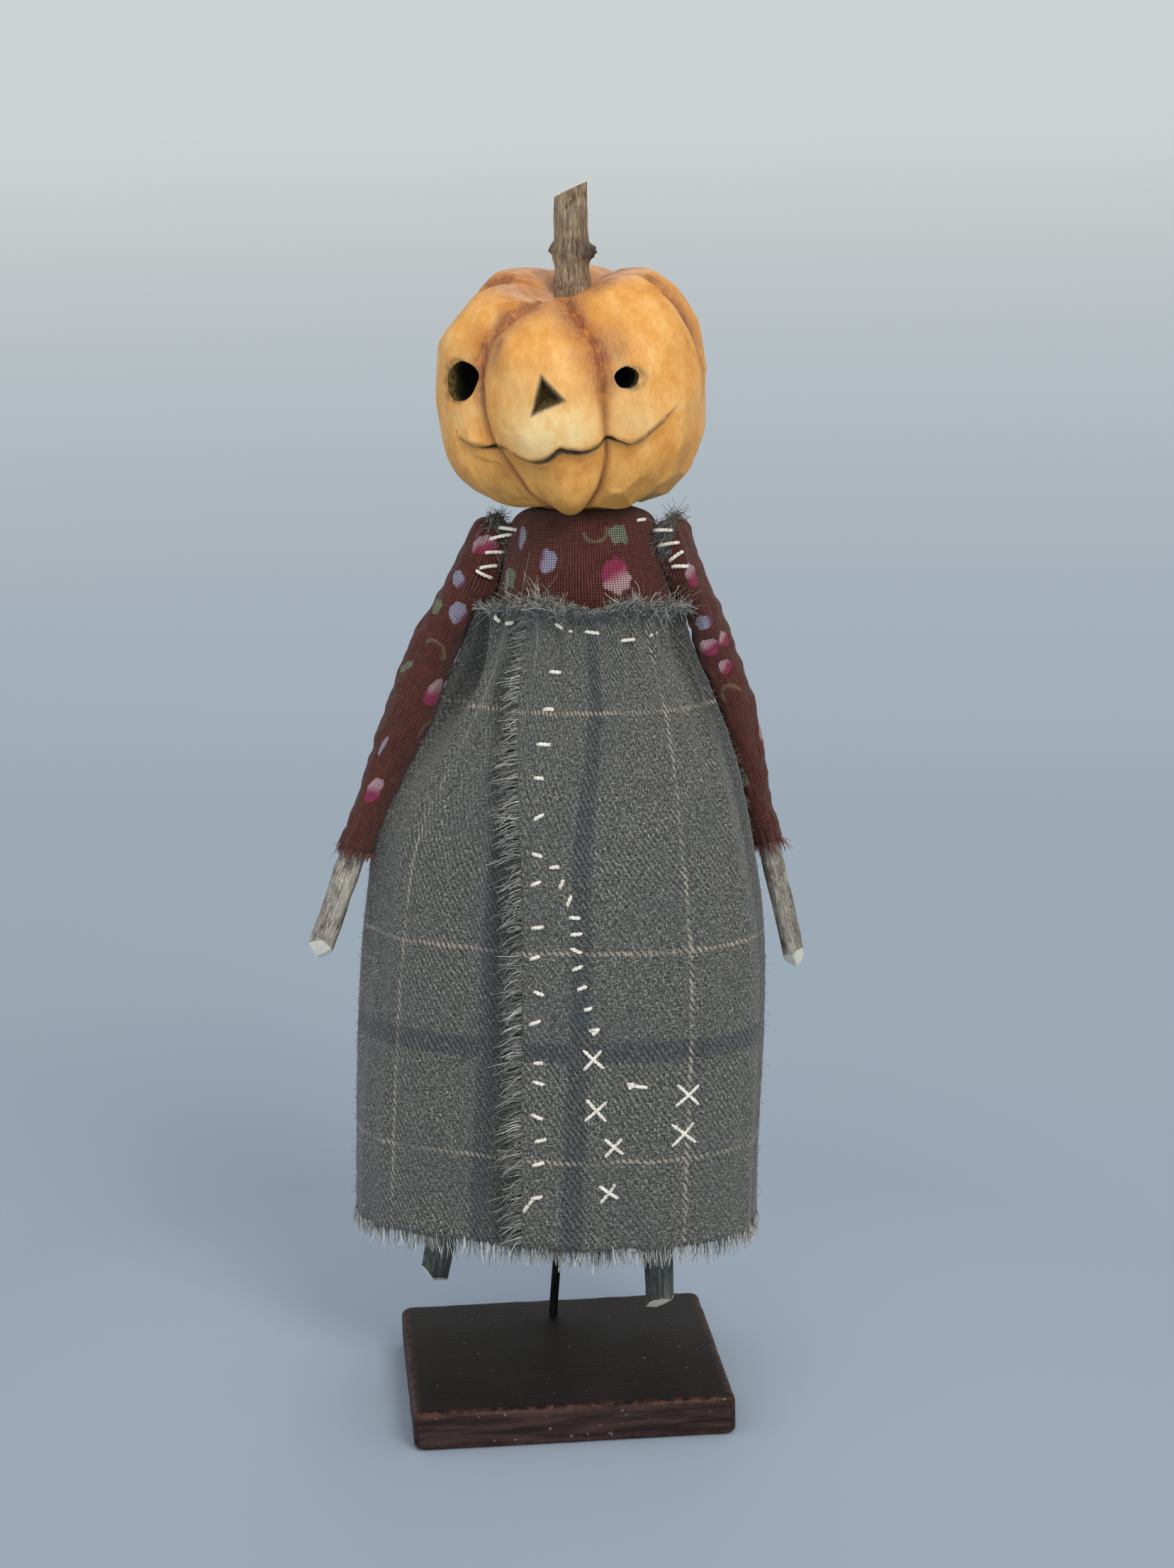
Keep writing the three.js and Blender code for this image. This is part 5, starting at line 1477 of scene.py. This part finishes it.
# Half sizes of the scattered motifs, and the order they come in
MOTIF_SIZES = {"pink": 2.1, "blue": 1.6, "green": 1.6, "stem": 2.4}
MOTIF_ORDER = ["pink", "blue", "green", "stem", "blue", "pink", "green"]
MOTIF_PITCH = 10.0


def torso_half_width(z):
    rise = PEG_HALF_WIDTH + (WAIST_HALF_WIDTH - PEG_HALF_WIDTH) * smooth(PEG_TOP, WAIST, z)
    up = np.clip((z - WAIST) / (SHOULDER - WAIST), 0, 1)
    slope = lerp(WAIST_HALF_WIDTH, SHOULDER_HALF_WIDTH, up)
    share = np.clip((z - SHOULDER) / (TORSO_TOP - SHOULDER), 0, 1)
    arch = np.maximum(0, 1 - share ** CROWN_ROUNDNESS) ** (1 / CROWN_ROUNDNESS)
    crown = lerp(NECK_HALF_WIDTH, SHOULDER_HALF_WIDTH, arch)
    return np.where(z <= WAIST, rise, np.where(z <= SHOULDER, slope, crown))


def printed(cloth, motifs, around):
    """How much of each printed colour lies at each place of a cloth that closes on itself."""
    shape = cloth.shape[:-1]
    layers = {k: np.zeros(shape) for k in ("pink", "blue", "green", "stem", "core")}
    edge = 0.22 * noise(np.concatenate([cloth, np.zeros((*shape, 1))], -1), 1.3, 201)
    for kind, u, v, half, tall, turn in motifs:
        dx = (cloth[..., 0] - u + around / 2) % around - around / 2
        dy = cloth[..., 1] - v
        x = (math.cos(turn) * dx + math.sin(turn) * dy) / half
        y = (math.cos(turn) * dy - math.sin(turn) * dx) / tall
        reach = np.hypot(x, y)
        if kind == "green":
            notch = np.maximum(0, 1 - np.hypot(x / 0.6, (y + 1.05) / 0.7))
            reach = (np.abs(x) ** LEAF_ROUNDNESS + np.abs(y) ** LEAF_ROUNDNESS) ** (1 / LEAF_ROUNDNESS)
            reach = reach + 0.55 * notch
        elif kind == "stem":
            reach = np.abs(reach - 1) * 5.5 + 1.4 * smooth(-0.1, 0.3, y)
        amount = smooth(1.25, 0.75, reach + edge)
        if kind in ("pink", "blue"):
            core = smooth(-0.5, 0.35, y - 0.4 * x + 0.8 * edge)
            core = smooth(-0.25, -0.85, x + edge) if kind == "blue" else core
            layers["core"] = np.where(amount > layers[kind], core, layers["core"])
        layers[kind] = np.maximum(layers[kind], amount)
    return layers


def scattered(width, length, taken, seed, front):
    """Motifs strewn over the back of a cloth, clear of those already there and of its front."""
    chance = np.random.default_rng(seed)
    motifs = list(taken)
    for _ in range(400):
        u, v = chance.uniform(0, width), chance.uniform(0, length)
        if abs((u - front + width / 2) % width - width / 2) < 0.25 * width:
            continue
        apart = [math.hypot((u - m[1] + width / 2) % width - width / 2, v - m[2]) for m in motifs]
        if min(apart) < MOTIF_PITCH * 0.78:
            continue
        kind = MOTIF_ORDER[len(motifs) % len(MOTIF_ORDER)]
        size = MOTIF_SIZES[kind] * chance.uniform(0.85, 1.2)
        motifs.append((kind, u, v, size, size * chance.uniform(1.05, 1.35), chance.uniform(-0.6, 0.6)))
    return motifs


BODICE_BOTTOM = WAIST - 7.0
BODICE_ROUND = 92.0
BODICE_UP = 32.0
BODICE_MOTIFS = [
    ("blue", 34.6, 22.2, 1.35, 2.1, 0.1), ("blue", 41.6, 18.2, 1.9, 2.4, -0.1),
    ("pink", 54.3, 15.4, 2.7, 3.5, 0), ("green", 55.8, 22.9, 2.0, 1.9, 0.05),
    ("green", 32.6, 14.2, 1.9, 2.1, 0.25), ("stem", 51.0, 24.0, 2.4, 2.2, 0.2),
]


def bodice():
    columns = 300
    lower = np.linspace(BODICE_BOTTOM, SHOULDER - 1, 54)
    z = np.concatenate([lower, np.linspace(SHOULDER - 1, TORSO_TOP - 0.02, 39)[1:]])
    a, h = np.meshgrid(turns(columns, -np.pi), z)
    half = torso_half_width(h)
    ring = np.stack([np.sin(a) * 9, np.cos(a) * 9, h * 0.5], -1)
    rumple = 0.28 * noise(ring, 2.6, 111) + 0.12 * noise(ring, 1.1, 112)
    pull = 0.25 * np.cos(11 * a + 1.5 * noise(ring, 6.0, 113)) * smooth(SHOULDER + 0.5, TORSO_TOP, h)
    puff = 0.35 * smooth(WAIST, WAIST + 5, h) * smooth(SHOULDER + 3, SHOULDER - 3, h)
    out = rumple + pull + puff
    outer = np.stack([(half + out) * np.sin(a), -(half * TORSO_DEPTH_RATIO + out) * np.cos(a), h], -1)
    rise = np.broadcast_to(lengths_along(outer[:, columns // 2])[:, None], a.shape)
    cloth = np.stack([(a + np.pi) / (2 * np.pi) * BODICE_ROUND, rise], -1)
    motifs = scattered(BODICE_ROUND, BODICE_UP, BODICE_MOTIFS, 121, BODICE_ROUND / 2)
    made = cloth_sheet("calico_bodice", outer, CALICO_THICKNESS, cloth, CALICO, True,
                       printed(cloth, motifs, BODICE_ROUND), body="doll", slot="calico", node="bodice")


bodice()

WRIST_DROP = 60.5
ARM_START = 18.2
ARM_SWING = {"left": 0.19, "right": -0.13}
ARM_SPREAD = {"left": math.radians(14), "right": math.radians(26)}
ARM_CURL = {"left": 1.3, "right": 2.93}
HAND_SPREAD = {"left": math.radians(9.5), "right": math.radians(20)}
SLEEVE_TOP = {"left": 3.2, "right": 3.4}
SLEEVE_FULL = {"left": 3.7, "right": 4.8}
SLEEVE_TOP_DEPTH = 5.0
SLEEVE_SEED = {"left": 131, "right": 141}
SLEEVE_CAP = 2.7
CAP_ROWS = 14
HAND_DIAMETER = {"left": 4.1, "right": 4.9}
HAND_LENGTH = {"left": 28.0, "right": 24.0}
HAND_SEED = {"left": 21, "right": 27}
HAND_KNOTS = [(18, 2.0, 0.12, None)]
HAND_CUTS = {
    "left": [(216, 1.4, 2.0), (290, 1.15, 1.8), (90, 0.2, 0.0)],
    "right": [(258, 1.15, 2.1), (203, 0.9, 1.4), (322, 0.85, 1.2)],
}
TWIG_IN_SLEEVE = 12.0
ARM_CLEARANCE = 0.7
CUFF_ROOM = 0.8
BODICE_CLEARANCE = 0.75
FILLING_CAP = 2.8
# Where the sleeve stands open over its wool: direction round the arm in degrees, spread and depth
SHOULDER_OPEN = {"left": (318, 0.62, 4.4), "right": (205, 0.42, 1.2)}
SLEEVE_MOTIFS = {
    "left": [
        ("pink", 15.8, 7.8, 1.5, 2.6, -0.3), ("blue", 17.3, 17.2, 2.0, 1.4, 0.1),
        ("pink", 17.5, 22.2, 2.1, 1.7, 0.1), ("pink", 14.0, 21.5, 1.2, 1.6, 0),
        ("pink", 15.6, 27.0, 1.5, 1.5, 0.3), ("green", 18.6, 49.0, 0.9, 1.8, 0.2),
        ("stem", 16.5, 33.0, 1.8, 2.6, 0.3),
    ],
    "right": [
        ("pink", 21.5, 2.6, 2.5, 1.9, 0.5), ("blue", 23.4, 10.6, 2.0, 1.5, -0.5),
        ("blue", 20.3, 16.4, 2.2, 2.0, -0.3), ("green", 25.6, 17.0, 1.1, 1.7, 0.3),
        ("stem", 21.5, 25.0, 2.4, 2.0, -0.4), ("pink", 18.0, 32.6, 1.9, 3.1, -0.3),
        ("green", 26.0, 30.0, 2.0, 0.8, 0.7), ("blue", 24.2, 45.8, 0.6, 2.2, -0.2),
        ("pink", 22.4, 54.5, 1.9, 2.9, -0.4),
    ],
}


def sleeve_size(side, share):
    """The half width and the half depth of a sleeve at a share along the arm."""
    full = SLEEVE_FULL[side]
    cuff = HAND_DIAMETER[side] / 2 + CUFF_ROOM
    wide = lerp(SLEEVE_TOP[side], full, smooth(0, 0.45, share))
    deep = lerp(SLEEVE_TOP_DEPTH, full, smooth(0, 0.5, share))
    narrow = smooth(0.5, 0.95, share)
    return lerp(wide, cuff, narrow), lerp(deep, cuff, narrow)


def body_reach(side, y, z):
    """How far out the body stands beside the arm, at a depth and a height."""
    if z > WAIST + FRILL_HEIGHT * 0.25:
        return float(torso_half_width(np.array(z)))
    drop = float(drop_at(z))
    centre, wide, deep = (float(size) for size in skirt_shape(drop))
    back = math.asin(max(-1.0, min(1.0, y / deep)))
    if side == "left":
        wide += float(lap_lift(math.pi / 2 + back - lap_reach(drop)))
    else:
        wide += 4.4 * bell(drop - 0.1, 0.06)
    return SIDES[side] * centre + wide * math.cos(back)


def arm_line(side):
    """The arm's middle from the shoulder to the wrist as even places, and how far along it they are."""
    stops = []
    for share in (0, 0.12, 0.25, 0.4, 0.55, 0.7, 0.85, 1):
        drop = share * WRIST_DROP
        y = ARM_SWING[side] * drop
        z = SHOULDER - drop
        hung = ARM_START + drop * math.tan(ARM_SPREAD[side]) - ARM_CURL[side] * share ** 2
        wide = float(sleeve_size(side, share)[0])
        clear = body_reach(side, y, z) + ARM_CLEARANCE + wide / math.cos(ARM_SPREAD[side])
        stops.append((SIDES[side] * max(hung, clear if share > 0 else 0), y, z))
    fine = through(stops, 600)
    return fine, lengths_along(fine)


def arm_frame(side, along):
    """Places at shares along the arm, the way along it, its across and depth directions, and its length."""
    fine, gone = arm_line(side)
    length = gone[-1]
    at = np.asarray(along) * length
    spots = [at, np.minimum(at + 0.4, length), np.maximum(at - 0.4, 0)]
    place, ahead, behind = (np.stack([np.interp(t, gone, axis) for axis in fine.T], -1) for t in spots)
    way = unit(ahead - behind)
    across = unit(np.cross(np.broadcast_to([0, 1.0, 0], way.shape), way))
    return place, way, across, np.cross(way, across), length


def round_arm(a, across, deep, wide, thick):
    """Places round the arm's middle at angles."""
    return (np.cos(a) * wide)[..., None] * across[:, None] + (np.sin(a) * thick)[..., None] * deep[:, None]


def shoulder_slim(side, inward, share):
    """How much the left arm is drawn in on its outer side under the shoulder."""
    most = 0.9 if side == "left" else 0.0
    return most * smooth(-0.1, -0.8, inward) * smooth(0.34, 0.2, share)


def shoulder_open(side, angle):
    middle, spread, _ = SHOULDER_OPEN[side]
    return near_degrees(angle, middle, spread)


def shoulder_full(side, inward, share):
    """How much the arm swells inwards under the shoulder to lie against the bodice."""
    if side == "right":
        return 2.9 * smooth(0.1, 0.9, inward) * smooth(0.26, 0.13, share)
    return 2.0 * smooth(0.1, 0.9, inward) * smooth(0.3, 0.06, share)


def sleeve(side):
    """A sleeve that runs up over the shoulder outside, and leaves the wool bare towards the bodice."""
    rows, columns = 200, 104
    plain = rows - CAP_ROWS
    cap = np.concatenate([np.linspace(1, 0, CAP_ROWS), np.zeros(plain)])
    share = np.concatenate([np.full(CAP_ROWS, 0.5 / WRIST_DROP), np.linspace(0.9 / WRIST_DROP, 1, plain)])
    place, way, across, deep, length = arm_frame(side, share)
    wide, thick = sleeve_size(side, share)
    a, s = np.meshgrid(turns(columns), share)
    inward = SIDES[side] * np.cos(a)
    rise = SLEEVE_CAP * cap[:, None] * smooth(0.75, -0.35, inward + 0.25 * np.sin(a))
    slim = np.sqrt(1 - (0.93 * rise / SLEEVE_CAP) ** 2)
    at = spun(a, 4, s * length * 0.55)
    seed = SLEEVE_SEED[side]
    crumple = 0.34 * noise(at, (2.6, 2.6, 1.9), seed) + 0.16 * noise(at, 1.1, seed + 1)
    slant = np.sin(s * length * 0.9 + 2.0 * np.sin(a) + 3 * noise(at, 4.0, seed + 2))
    crumple = crumple + 0.14 * slant * smooth(0.1, 0.3, s) * smooth(0.95, 0.7, s)
    gather = 0.22 * np.cos(9 * a + 2 * noise(at, 3.0, seed + 3))
    out = crumple + gather * (smooth(0.1, 0.0, s) + 0.8 * smooth(0.86, 1.0, s)) - 0.1
    full = shoulder_full(side, inward, s) - shoulder_slim(side, inward, s)
    rise = rise - SHOULDER_OPEN[side][2] * shoulder_open(side, a) * np.maximum(0, 1 - s / 0.3)
    ring = round_arm(a, across, deep, (wide[:, None] + out + full) * slim, (thick[:, None] + out) * slim)
    outer = clear_of_bodice(place[:, None] + ring - way[:, None] * rise[..., None])
    girth = 2 * math.pi * SLEEVE_FULL[side]
    cloth = np.stack([a / (2 * np.pi) * girth, s * length - rise], -1)
    motifs = scattered(girth, length, SLEEVE_MOTIFS[side], seed + 7, 0.75 * girth)
    made = cloth_sheet(side + "_calico_sleeve", outer, SLEEVE_THICKNESS, cloth, CALICO, True,
                       printed(cloth, motifs, girth), body=side + "_arm", slot="calico",
                       node=side + "_sleeve")
    fray = [frayed_end(side, outer[end], place[end], way[end], end) for end in (0, -1)]
    length / 1000


def clear_of_bodice(points):
    """Moves places out of the bodice to its surface, where a sleeve would press into it."""
    x, y, z = np.moveaxis(points, -1, 0)
    half = torso_half_width(z)
    reach = np.hypot(x / (half + BODICE_CLEARANCE), y / (half * TORSO_DEPTH_RATIO + BODICE_CLEARANCE))
    grow = np.where((z > WAIST) & (z < TORSO_TOP), np.maximum(1, 1 / np.maximum(reach, 0.1)), 1)
    return np.stack([x * grow, y * grow, z], -1)


def frayed_end(side, ring, middle, way, end):
    """Loose calico yarns round one end of a sleeve."""
    chance = np.random.default_rng(150 + (end == 0) * 5 + (side == "left") * 9)
    count = 190 if end else 120
    pick = chance.integers(0, len(ring), count)
    start = ring[pick] + chance.normal(0, 0.12, (count, 3))
    outward = unit(ring[pick] - middle)
    start = start - outward * chance.uniform(0.1, 0.4, count)[:, None]
    along = way * (1 if end else -1) + outward * chance.normal(0.15, 0.25, count)[:, None]
    along = unit(along + chance.normal(0, 0.25, (count, 3)))
    length = chance.uniform(0.6, 2.8 if end else 1.2, count)
    paths = curled(start, along, length, 0.15, chance.uniform(0.08, 0.3, count), 160, 6)
    return yarns(side + ("_cuff_fray" if end else "_shoulder_fray"), paths, chance, 0.06, 0.13, 0.42, 0.2, 0,
                 CALICO_YARN, body=side + "_arm", slot="calico")


def filling(side):
    """The roll of wool in the sleeve, with a tuft that shows at the shoulder."""
    sign = SIDES[side]
    columns = 40
    share = np.concatenate([np.zeros(7), np.linspace(0, 0.83, 60)[1:]])
    rise = np.concatenate([np.linspace(FILLING_CAP, 0, 7), np.zeros(59)])
    slim = np.concatenate([np.sqrt(1 - np.linspace(0.98, 0, 7) ** 2), np.ones(59)])[:, None]
    place, way, across, deep, length = arm_frame(side, share)
    wide, thick = sleeve_size(side, share)
    place = place - way * rise[:, None]
    angle = turns(columns)
    a, s = np.meshgrid(angle, share)
    inward = sign * np.cos(a)
    at = spun(a, 4, s * length - rise[:, None])
    bare = shoulder_open(side, a) * smooth(0.2, 0.05, s)
    out = 0.16 * noise(at, 1.3, 171) - 1.05 + 0.65 * bare - shoulder_slim(side, inward, s)
    full = 0.95 * shoulder_full(side, inward, s)
    ring = round_arm(a, across, deep, (wide[:, None] + out + full) * slim, (thick[:, None] + out) * slim)
    points = clear_of_bodice(place[:, None] + ring)
    rows = len(share)
    maps = {"OFBake": flat_map(rows, columns), "cloth": np.stack([a * 4, s * length + 5], -1)}
    made = make(side + "_wool_filling", points, tube_faces(rows, columns), WOOL, side + "_arm", maps,
                slot="wool", node=side + "_arm_wool_roll")
    chance = np.random.default_rng(181 + sign)
    count = 2400
    row, column = chance.integers(0, 20, count), chance.integers(0, columns, count)
    start = points[row, column]
    shown = (row < 9) & ((start - place[0])[:, 0] * sign < 1.2) & (chance.uniform(0, 1, count) < 0.6)
    shown = shown | (shoulder_open(side, angle[column]) > 0.55 + row / 45)
    start = start[shown]
    count = len(start)
    outward = unit(start - (place[0] + way[0] * 3.0))
    along = unit(outward + chance.normal(0, 0.7, (count, 3)) - way[0] * 0.2)
    length = 0.4 + np.where(row[shown] < 9, 1.9, 1.3) * chance.uniform(0, 1, count) ** 1.8
    paths = curled(start, along, length, 0.4, chance.uniform(0.3, 0.9, count), 182, 6)
    yarns(side + "_shoulder_tuft", paths, chance, 0.06, 0.12, 0.38, 0.16, 0, WOOL_YARN, body=side + "_arm",
          slot="wool")


def hand(side):
    wrist = arm_line(side)[0][-1]
    way = unit(np.array([SIDES[side] * math.tan(HAND_SPREAD[side]), ARM_SWING[side], -1.0]))
    stick(side + "_hand_bark", wrist - way * TWIG_IN_SLEEVE, way, TWIG_IN_SLEEVE + HAND_LENGTH[side],
          HAND_DIAMETER[side] / 2, HAND_BARK, side + "_arm", side + "_arm_twig", HAND_CUTS[side],
          HAND_KNOTS, 0.12, HAND_SEED[side])


# Whipstitches that close each shoulder: from and to, as distances to the doll's left and heights
WHIPSTITCHES = {
    "right": [(-15.2, 158.9, -11.4, 158.6), (-17.0, 156.7, -12.7, 157.6), (-17.8, 154.2, -14.7, 154.1),
              (-18.9, 151.3, -16.1, 151.6), (-19.6, 150.9, -17.1, 149.3)],
    "left": [(11.6, 160.4, 12.7, 160.4), (14.4, 158.4, 18.3, 158.7), (15.3, 155.6, 19.5, 156.4),
             (17.4, 152.8, 20.1, 154.7), (17.8, 151.7, 20.8, 151.8)],
}
# Distances out from the doll's middle between which the stitches go over from the doll to the arm
BLEND_NEAR = 12.5
BLEND_FAR = 18.0


def shoulder_front(side, x, z):
    """The place on the foremost face of bodice or sleeve at a distance to the doll's left and a height."""
    half = float(torso_half_width(np.array(z)))
    front = -half * TORSO_DEPTH_RATIO * math.sqrt(max(0.04, 1 - (x / half) ** 2))
    share = min(1.0, max(0.01, (SHOULDER - z) / WRIST_DROP))
    place = arm_frame(side, np.array([share]))[0][0]
    wide, thick = sleeve_size(side, share)
    if (x - place[0]) * SIDES[side] < 0:
        wide = wide + float(shoulder_full(side, 1.0, share))
    arm = place[1] - thick * math.sqrt(max(0.0, 1 - ((x - place[0]) / wide) ** 2))
    return x, min(front, arm) - 0.15, z


def shoulder_stitches(side):
    sign = SIDES[side]
    marks = WHIPSTITCHES[side]
    starts = np.array([shoulder_front(side, x, z) for x, z, _, _ in marks])
    ends = np.array([shoulder_front(side, x, z) for _, _, x, z in marks])
    normals = unit(np.tile([sign * 0.2, -1.0, 0.2], (len(marks), 1)))
    made = stitches(side + "_shoulder_stitches", starts, ends, normals, 0.75)
    near = to_row([sign * BLEND_NEAR, 0, SHOULDER])
    far = to_row([sign * BLEND_FAR, 0, SHOULDER])
    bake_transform(made, "doll", side + "_arm", tuple(near), tuple(far))


for side in SIDES:
    filling(side)
    sleeve(side)
    hand(side)
    shoulder_stitches(side)

# Stand: board and wire, in the board's own axes
BOARD_HALF = 30.0
BOARD_CORNER = 1.8
BOARD_EDGE = 0.9
WIRE_RADIUS = 0.85
WIRE_HOLE = (0, 21.1, BOARD_TOP)


def board():
    """A square board with softly worn edges, as rings from the middle of its underside to that of its top."""
    corner = np.linspace(0, math.pi / 2, 9)
    straight = BOARD_HALF - BOARD_CORNER
    run = np.linspace(-1, 1, 44)[1:-1] * straight
    flat = np.stack([np.full(len(run), BOARD_HALF), run], -1)
    bend = np.stack([np.cos(corner), np.sin(corner)], -1) * BOARD_CORNER + straight
    piece = np.concatenate([flat, bend])
    outline = []
    for k in range(4):
        c, s = math.cos(k * math.pi / 2), math.sin(k * math.pi / 2)
        outline.append(np.stack([c * piece[:, 0] - s * piece[:, 1], s * piece[:, 0] + c * piece[:, 1]], -1))
    outline = np.concatenate(outline)
    bend = np.linspace(0, math.pi / 2, 8)
    inward = np.linspace(BOARD_HALF - 1, BOARD_EDGE, 30)[:-1]
    inset = np.concatenate([inward, BOARD_EDGE * (1 - np.sin(bend))])
    rise = np.concatenate([np.zeros(29), BOARD_EDGE * (1 - np.cos(bend))])
    upright = np.linspace(BOARD_EDGE, BOARD_TOP - BOARD_EDGE, 8)[1:-1]
    inset = np.concatenate([inset, np.zeros(6), inset[::-1]])[:, None]
    rise = np.concatenate([rise, upright, BOARD_TOP - rise[::-1]])[:, None]
    shrink = 1 - inset / BOARD_HALF
    rows, columns = len(rise), len(outline)
    tall = np.broadcast_to(rise, (rows, columns))
    points = np.stack([outline[:, 0] * shrink, outline[:, 1] * shrink, tall], -1)
    edge = bell(np.maximum(inset, 0), 1.0) * smooth(1.5, 0, np.minimum(rise, BOARD_TOP - rise))
    worn = np.clip(edge * (0.5 + 0.8 * noise(points, 4.0, 191)), 0, 1)
    points = points - points * np.array([1, 1, 0]) / BOARD_HALF * (0.22 * worn)[..., None]
    points[..., 2] -= np.where(rise > BOARD_TOP / 2, 0.18 * worn, 0)
    values = {"wear": edge, "side": smooth(0.6, 0.1, inset)}
    values = {title: np.broadcast_to(amount, tall.shape) for title, amount in values.items()}
    make("worn_board", points, tube_faces(rows, columns), BOARD, "stand", {"OFBake": flat_map(rows, columns)},
         values, "stained_board", "base_board", True)


def wire():
    foot = np.array(WIRE_HOLE)
    turn = np.array([TURN_X, TURN_Y, BOARD_TOP])
    low = HIP_HEIGHT - 5.0
    stops = [foot + [0, 0, -5], foot + [0, 0, 0], foot + [0.05, -0.05, 1.6]]
    for share in np.linspace(0.06, 0.94, 9):
        stops.append(lerp(foot + [0, 0, 1.7], turn + [0, 0, low - 10], share))
    stops += [turn + [-0.05, 0.05, low - 9]] + [turn + [0, 0, low + up] for up in (-5, 10, 26)]
    path = through(stops, 150)
    uneven = np.stack([noise(path + k, 9.0, 195) for k in (0, 50, 100)], -1)
    path = path + 0.05 * uneven * smooth(8, 20, path[:, 2:3])
    made = strands("bent_wire", path[None], WIRE_RADIUS, WIRE, 20, slot="black_wire", row=True)
    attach(made, "stand")
    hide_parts("support_wire")


board()
wire()

# Parts that stay as they were packed, under the clothes
for title, finish in {"torso_core": BARE_WOOD, "neck_dowel": BARE_WOOD, "hip_wire": WIRE}.items():
    node = frame["nodes"][title]
    node.data.materials.clear()
    node.data.materials.append(finish)

# Floor, light and camera
PHOTO_LONG_SIDE = 2212
FOCAL_PIXELS = 4925
SENSOR = 36.0
CAMERA_PLACE = (-0.046817, -0.640890, 0.243183)
CAMERA_RIGHT = (0.995746, -0.089013, -0.023804)
CAMERA_DOWN = (-0.040224, -0.187507, -0.981439)
CAMERA_FORWARD = (0.082897, 0.978222, -0.190290)
FLOOR_RINGS = [20, 100, 250, 600, 1500, 6000, 40000]
FLOOR_UNDER_BOARD = 0.0002
# Place, aim, size, power and colour
LAMPS = {
    "key": ((0.38, -0.95, 0.85), (0, 0, 0.12), 0.5, 6.4, "#FFF6EA"),
    "fill": ((-0.45, -1.0, 0.16), (0, 0, 0.07), 0.7, 2.4, "#F4F7FF"),
    "rim": ((0.15, 0.8, 0.9), (0, 0, 0.15), 0.5, 1.5, "#FFFFFF"),
}
# Floor colour with painted light and shade, by shares of nearness to the board's middle, from far to near:
# lighter far off, darker near the board
FLOOR_LIGHT_AND_SHADE = [
    (0.012, "#EDF3F3"), (0.04, "#E9EFF0"), (0.067, "#E3EAEB"), (0.125, "#D7E0E5"), (0.223, "#C7D3DC"),
    (0.342, "#AEBBC7"), (0.45, "#A0AEBB"), (0.6, "#9DACBA"), (0.7, "#99A7B6"), (0.86, "#A3B2C4"),
]


def floor():
    f = Finish("pale_floor", 0.95, specular_ior_level=0.0)
    level = f.node("VectorMath", f.node("TexCoord", out=3), (1.0, 1.0, 0.0), operation="MULTIPLY")
    far = f.node("VectorMath", level, operation="LENGTH", out=1)
    # Painted light and shade: the floor's colour is set by its distance from the board
    f.put("Base Color", f.ramp(f.math("DIVIDE", 0.55, far + 0.64), *FLOOR_LIGHT_AND_SHADE))
    ring = spun(turns(96), 1.0, np.zeros(96))
    points = np.array(FLOOR_RINGS)[:, None, None] * ring[None]
    faces = [grid_faces(len(FLOOR_RINGS), 96, True), np.arange(96)[None].copy()]
    made = make("floor", points, faces, f.made, row=True)
    made.location.z = -FLOOR_UNDER_BOARD


def world():
    """Even light from all round, with a grey background where it is seen."""
    made = bpy.data.worlds.new("studio")
    bpy.context.scene.world = made
    n = Nodes(made)
    path = n.node("LightPath").socket.node
    kinds = ("Is Camera Ray", "Is Glossy Ray", "Is Transmission Ray")
    camera_ray, glossy_ray, through_ray = (Value(n, path.outputs[kind]) for kind in kinds)
    seen = n.math("MAXIMUM", n.math("MAXIMUM", camera_ray, glossy_ray), through_ray)
    light = n.node("Background", tint("#FFFFFF"), 0.72)
    shown = n.node("Background", tint("#CDD3D2"), 1.0)
    n.node("OutputWorld", n.node("MixShader", seen, light, shown))


def placed(name, data, place, right, up, back):
    """An object of a lamp or camera at a place, with its own three directions."""
    made = bpy.data.objects.new(name, data)
    bpy.context.scene.collection.objects.link(made)
    turn = Matrix(np.array([right, up, back]).T.tolist()).to_4x4()
    made.matrix_world = Matrix.Translation(place) @ turn
    return made


def lamp(name, place, aim, size, power, colour):
    data = bpy.data.lights.new(name, "AREA")
    data.shape = "DISK"
    data.size = size
    data.energy = power
    data.color = tint(colour)[:3]
    back = unit(np.array(place) - np.array(aim))
    side = unit(np.cross([0, 0, 1.0], back))
    placed(name, data, place, side, np.cross(back, side), back)


def camera():
    data = bpy.data.cameras.new("camera")
    data.sensor_width = SENSOR
    data.sensor_fit = "AUTO"
    data.lens = FOCAL_PIXELS * SENSOR / PHOTO_LONG_SIDE
    data.clip_start = 0.01
    data.clip_end = 100
    up, back = -np.array(CAMERA_DOWN), -np.array(CAMERA_FORWARD)
    bpy.context.scene.camera = placed("camera", data, CAMERA_PLACE, CAMERA_RIGHT, up, back)


floor()
world()
for name, values in LAMPS.items():
    lamp(name, *values)
camera()
bpy.context.scene.view_settings.view_transform = "Standard"
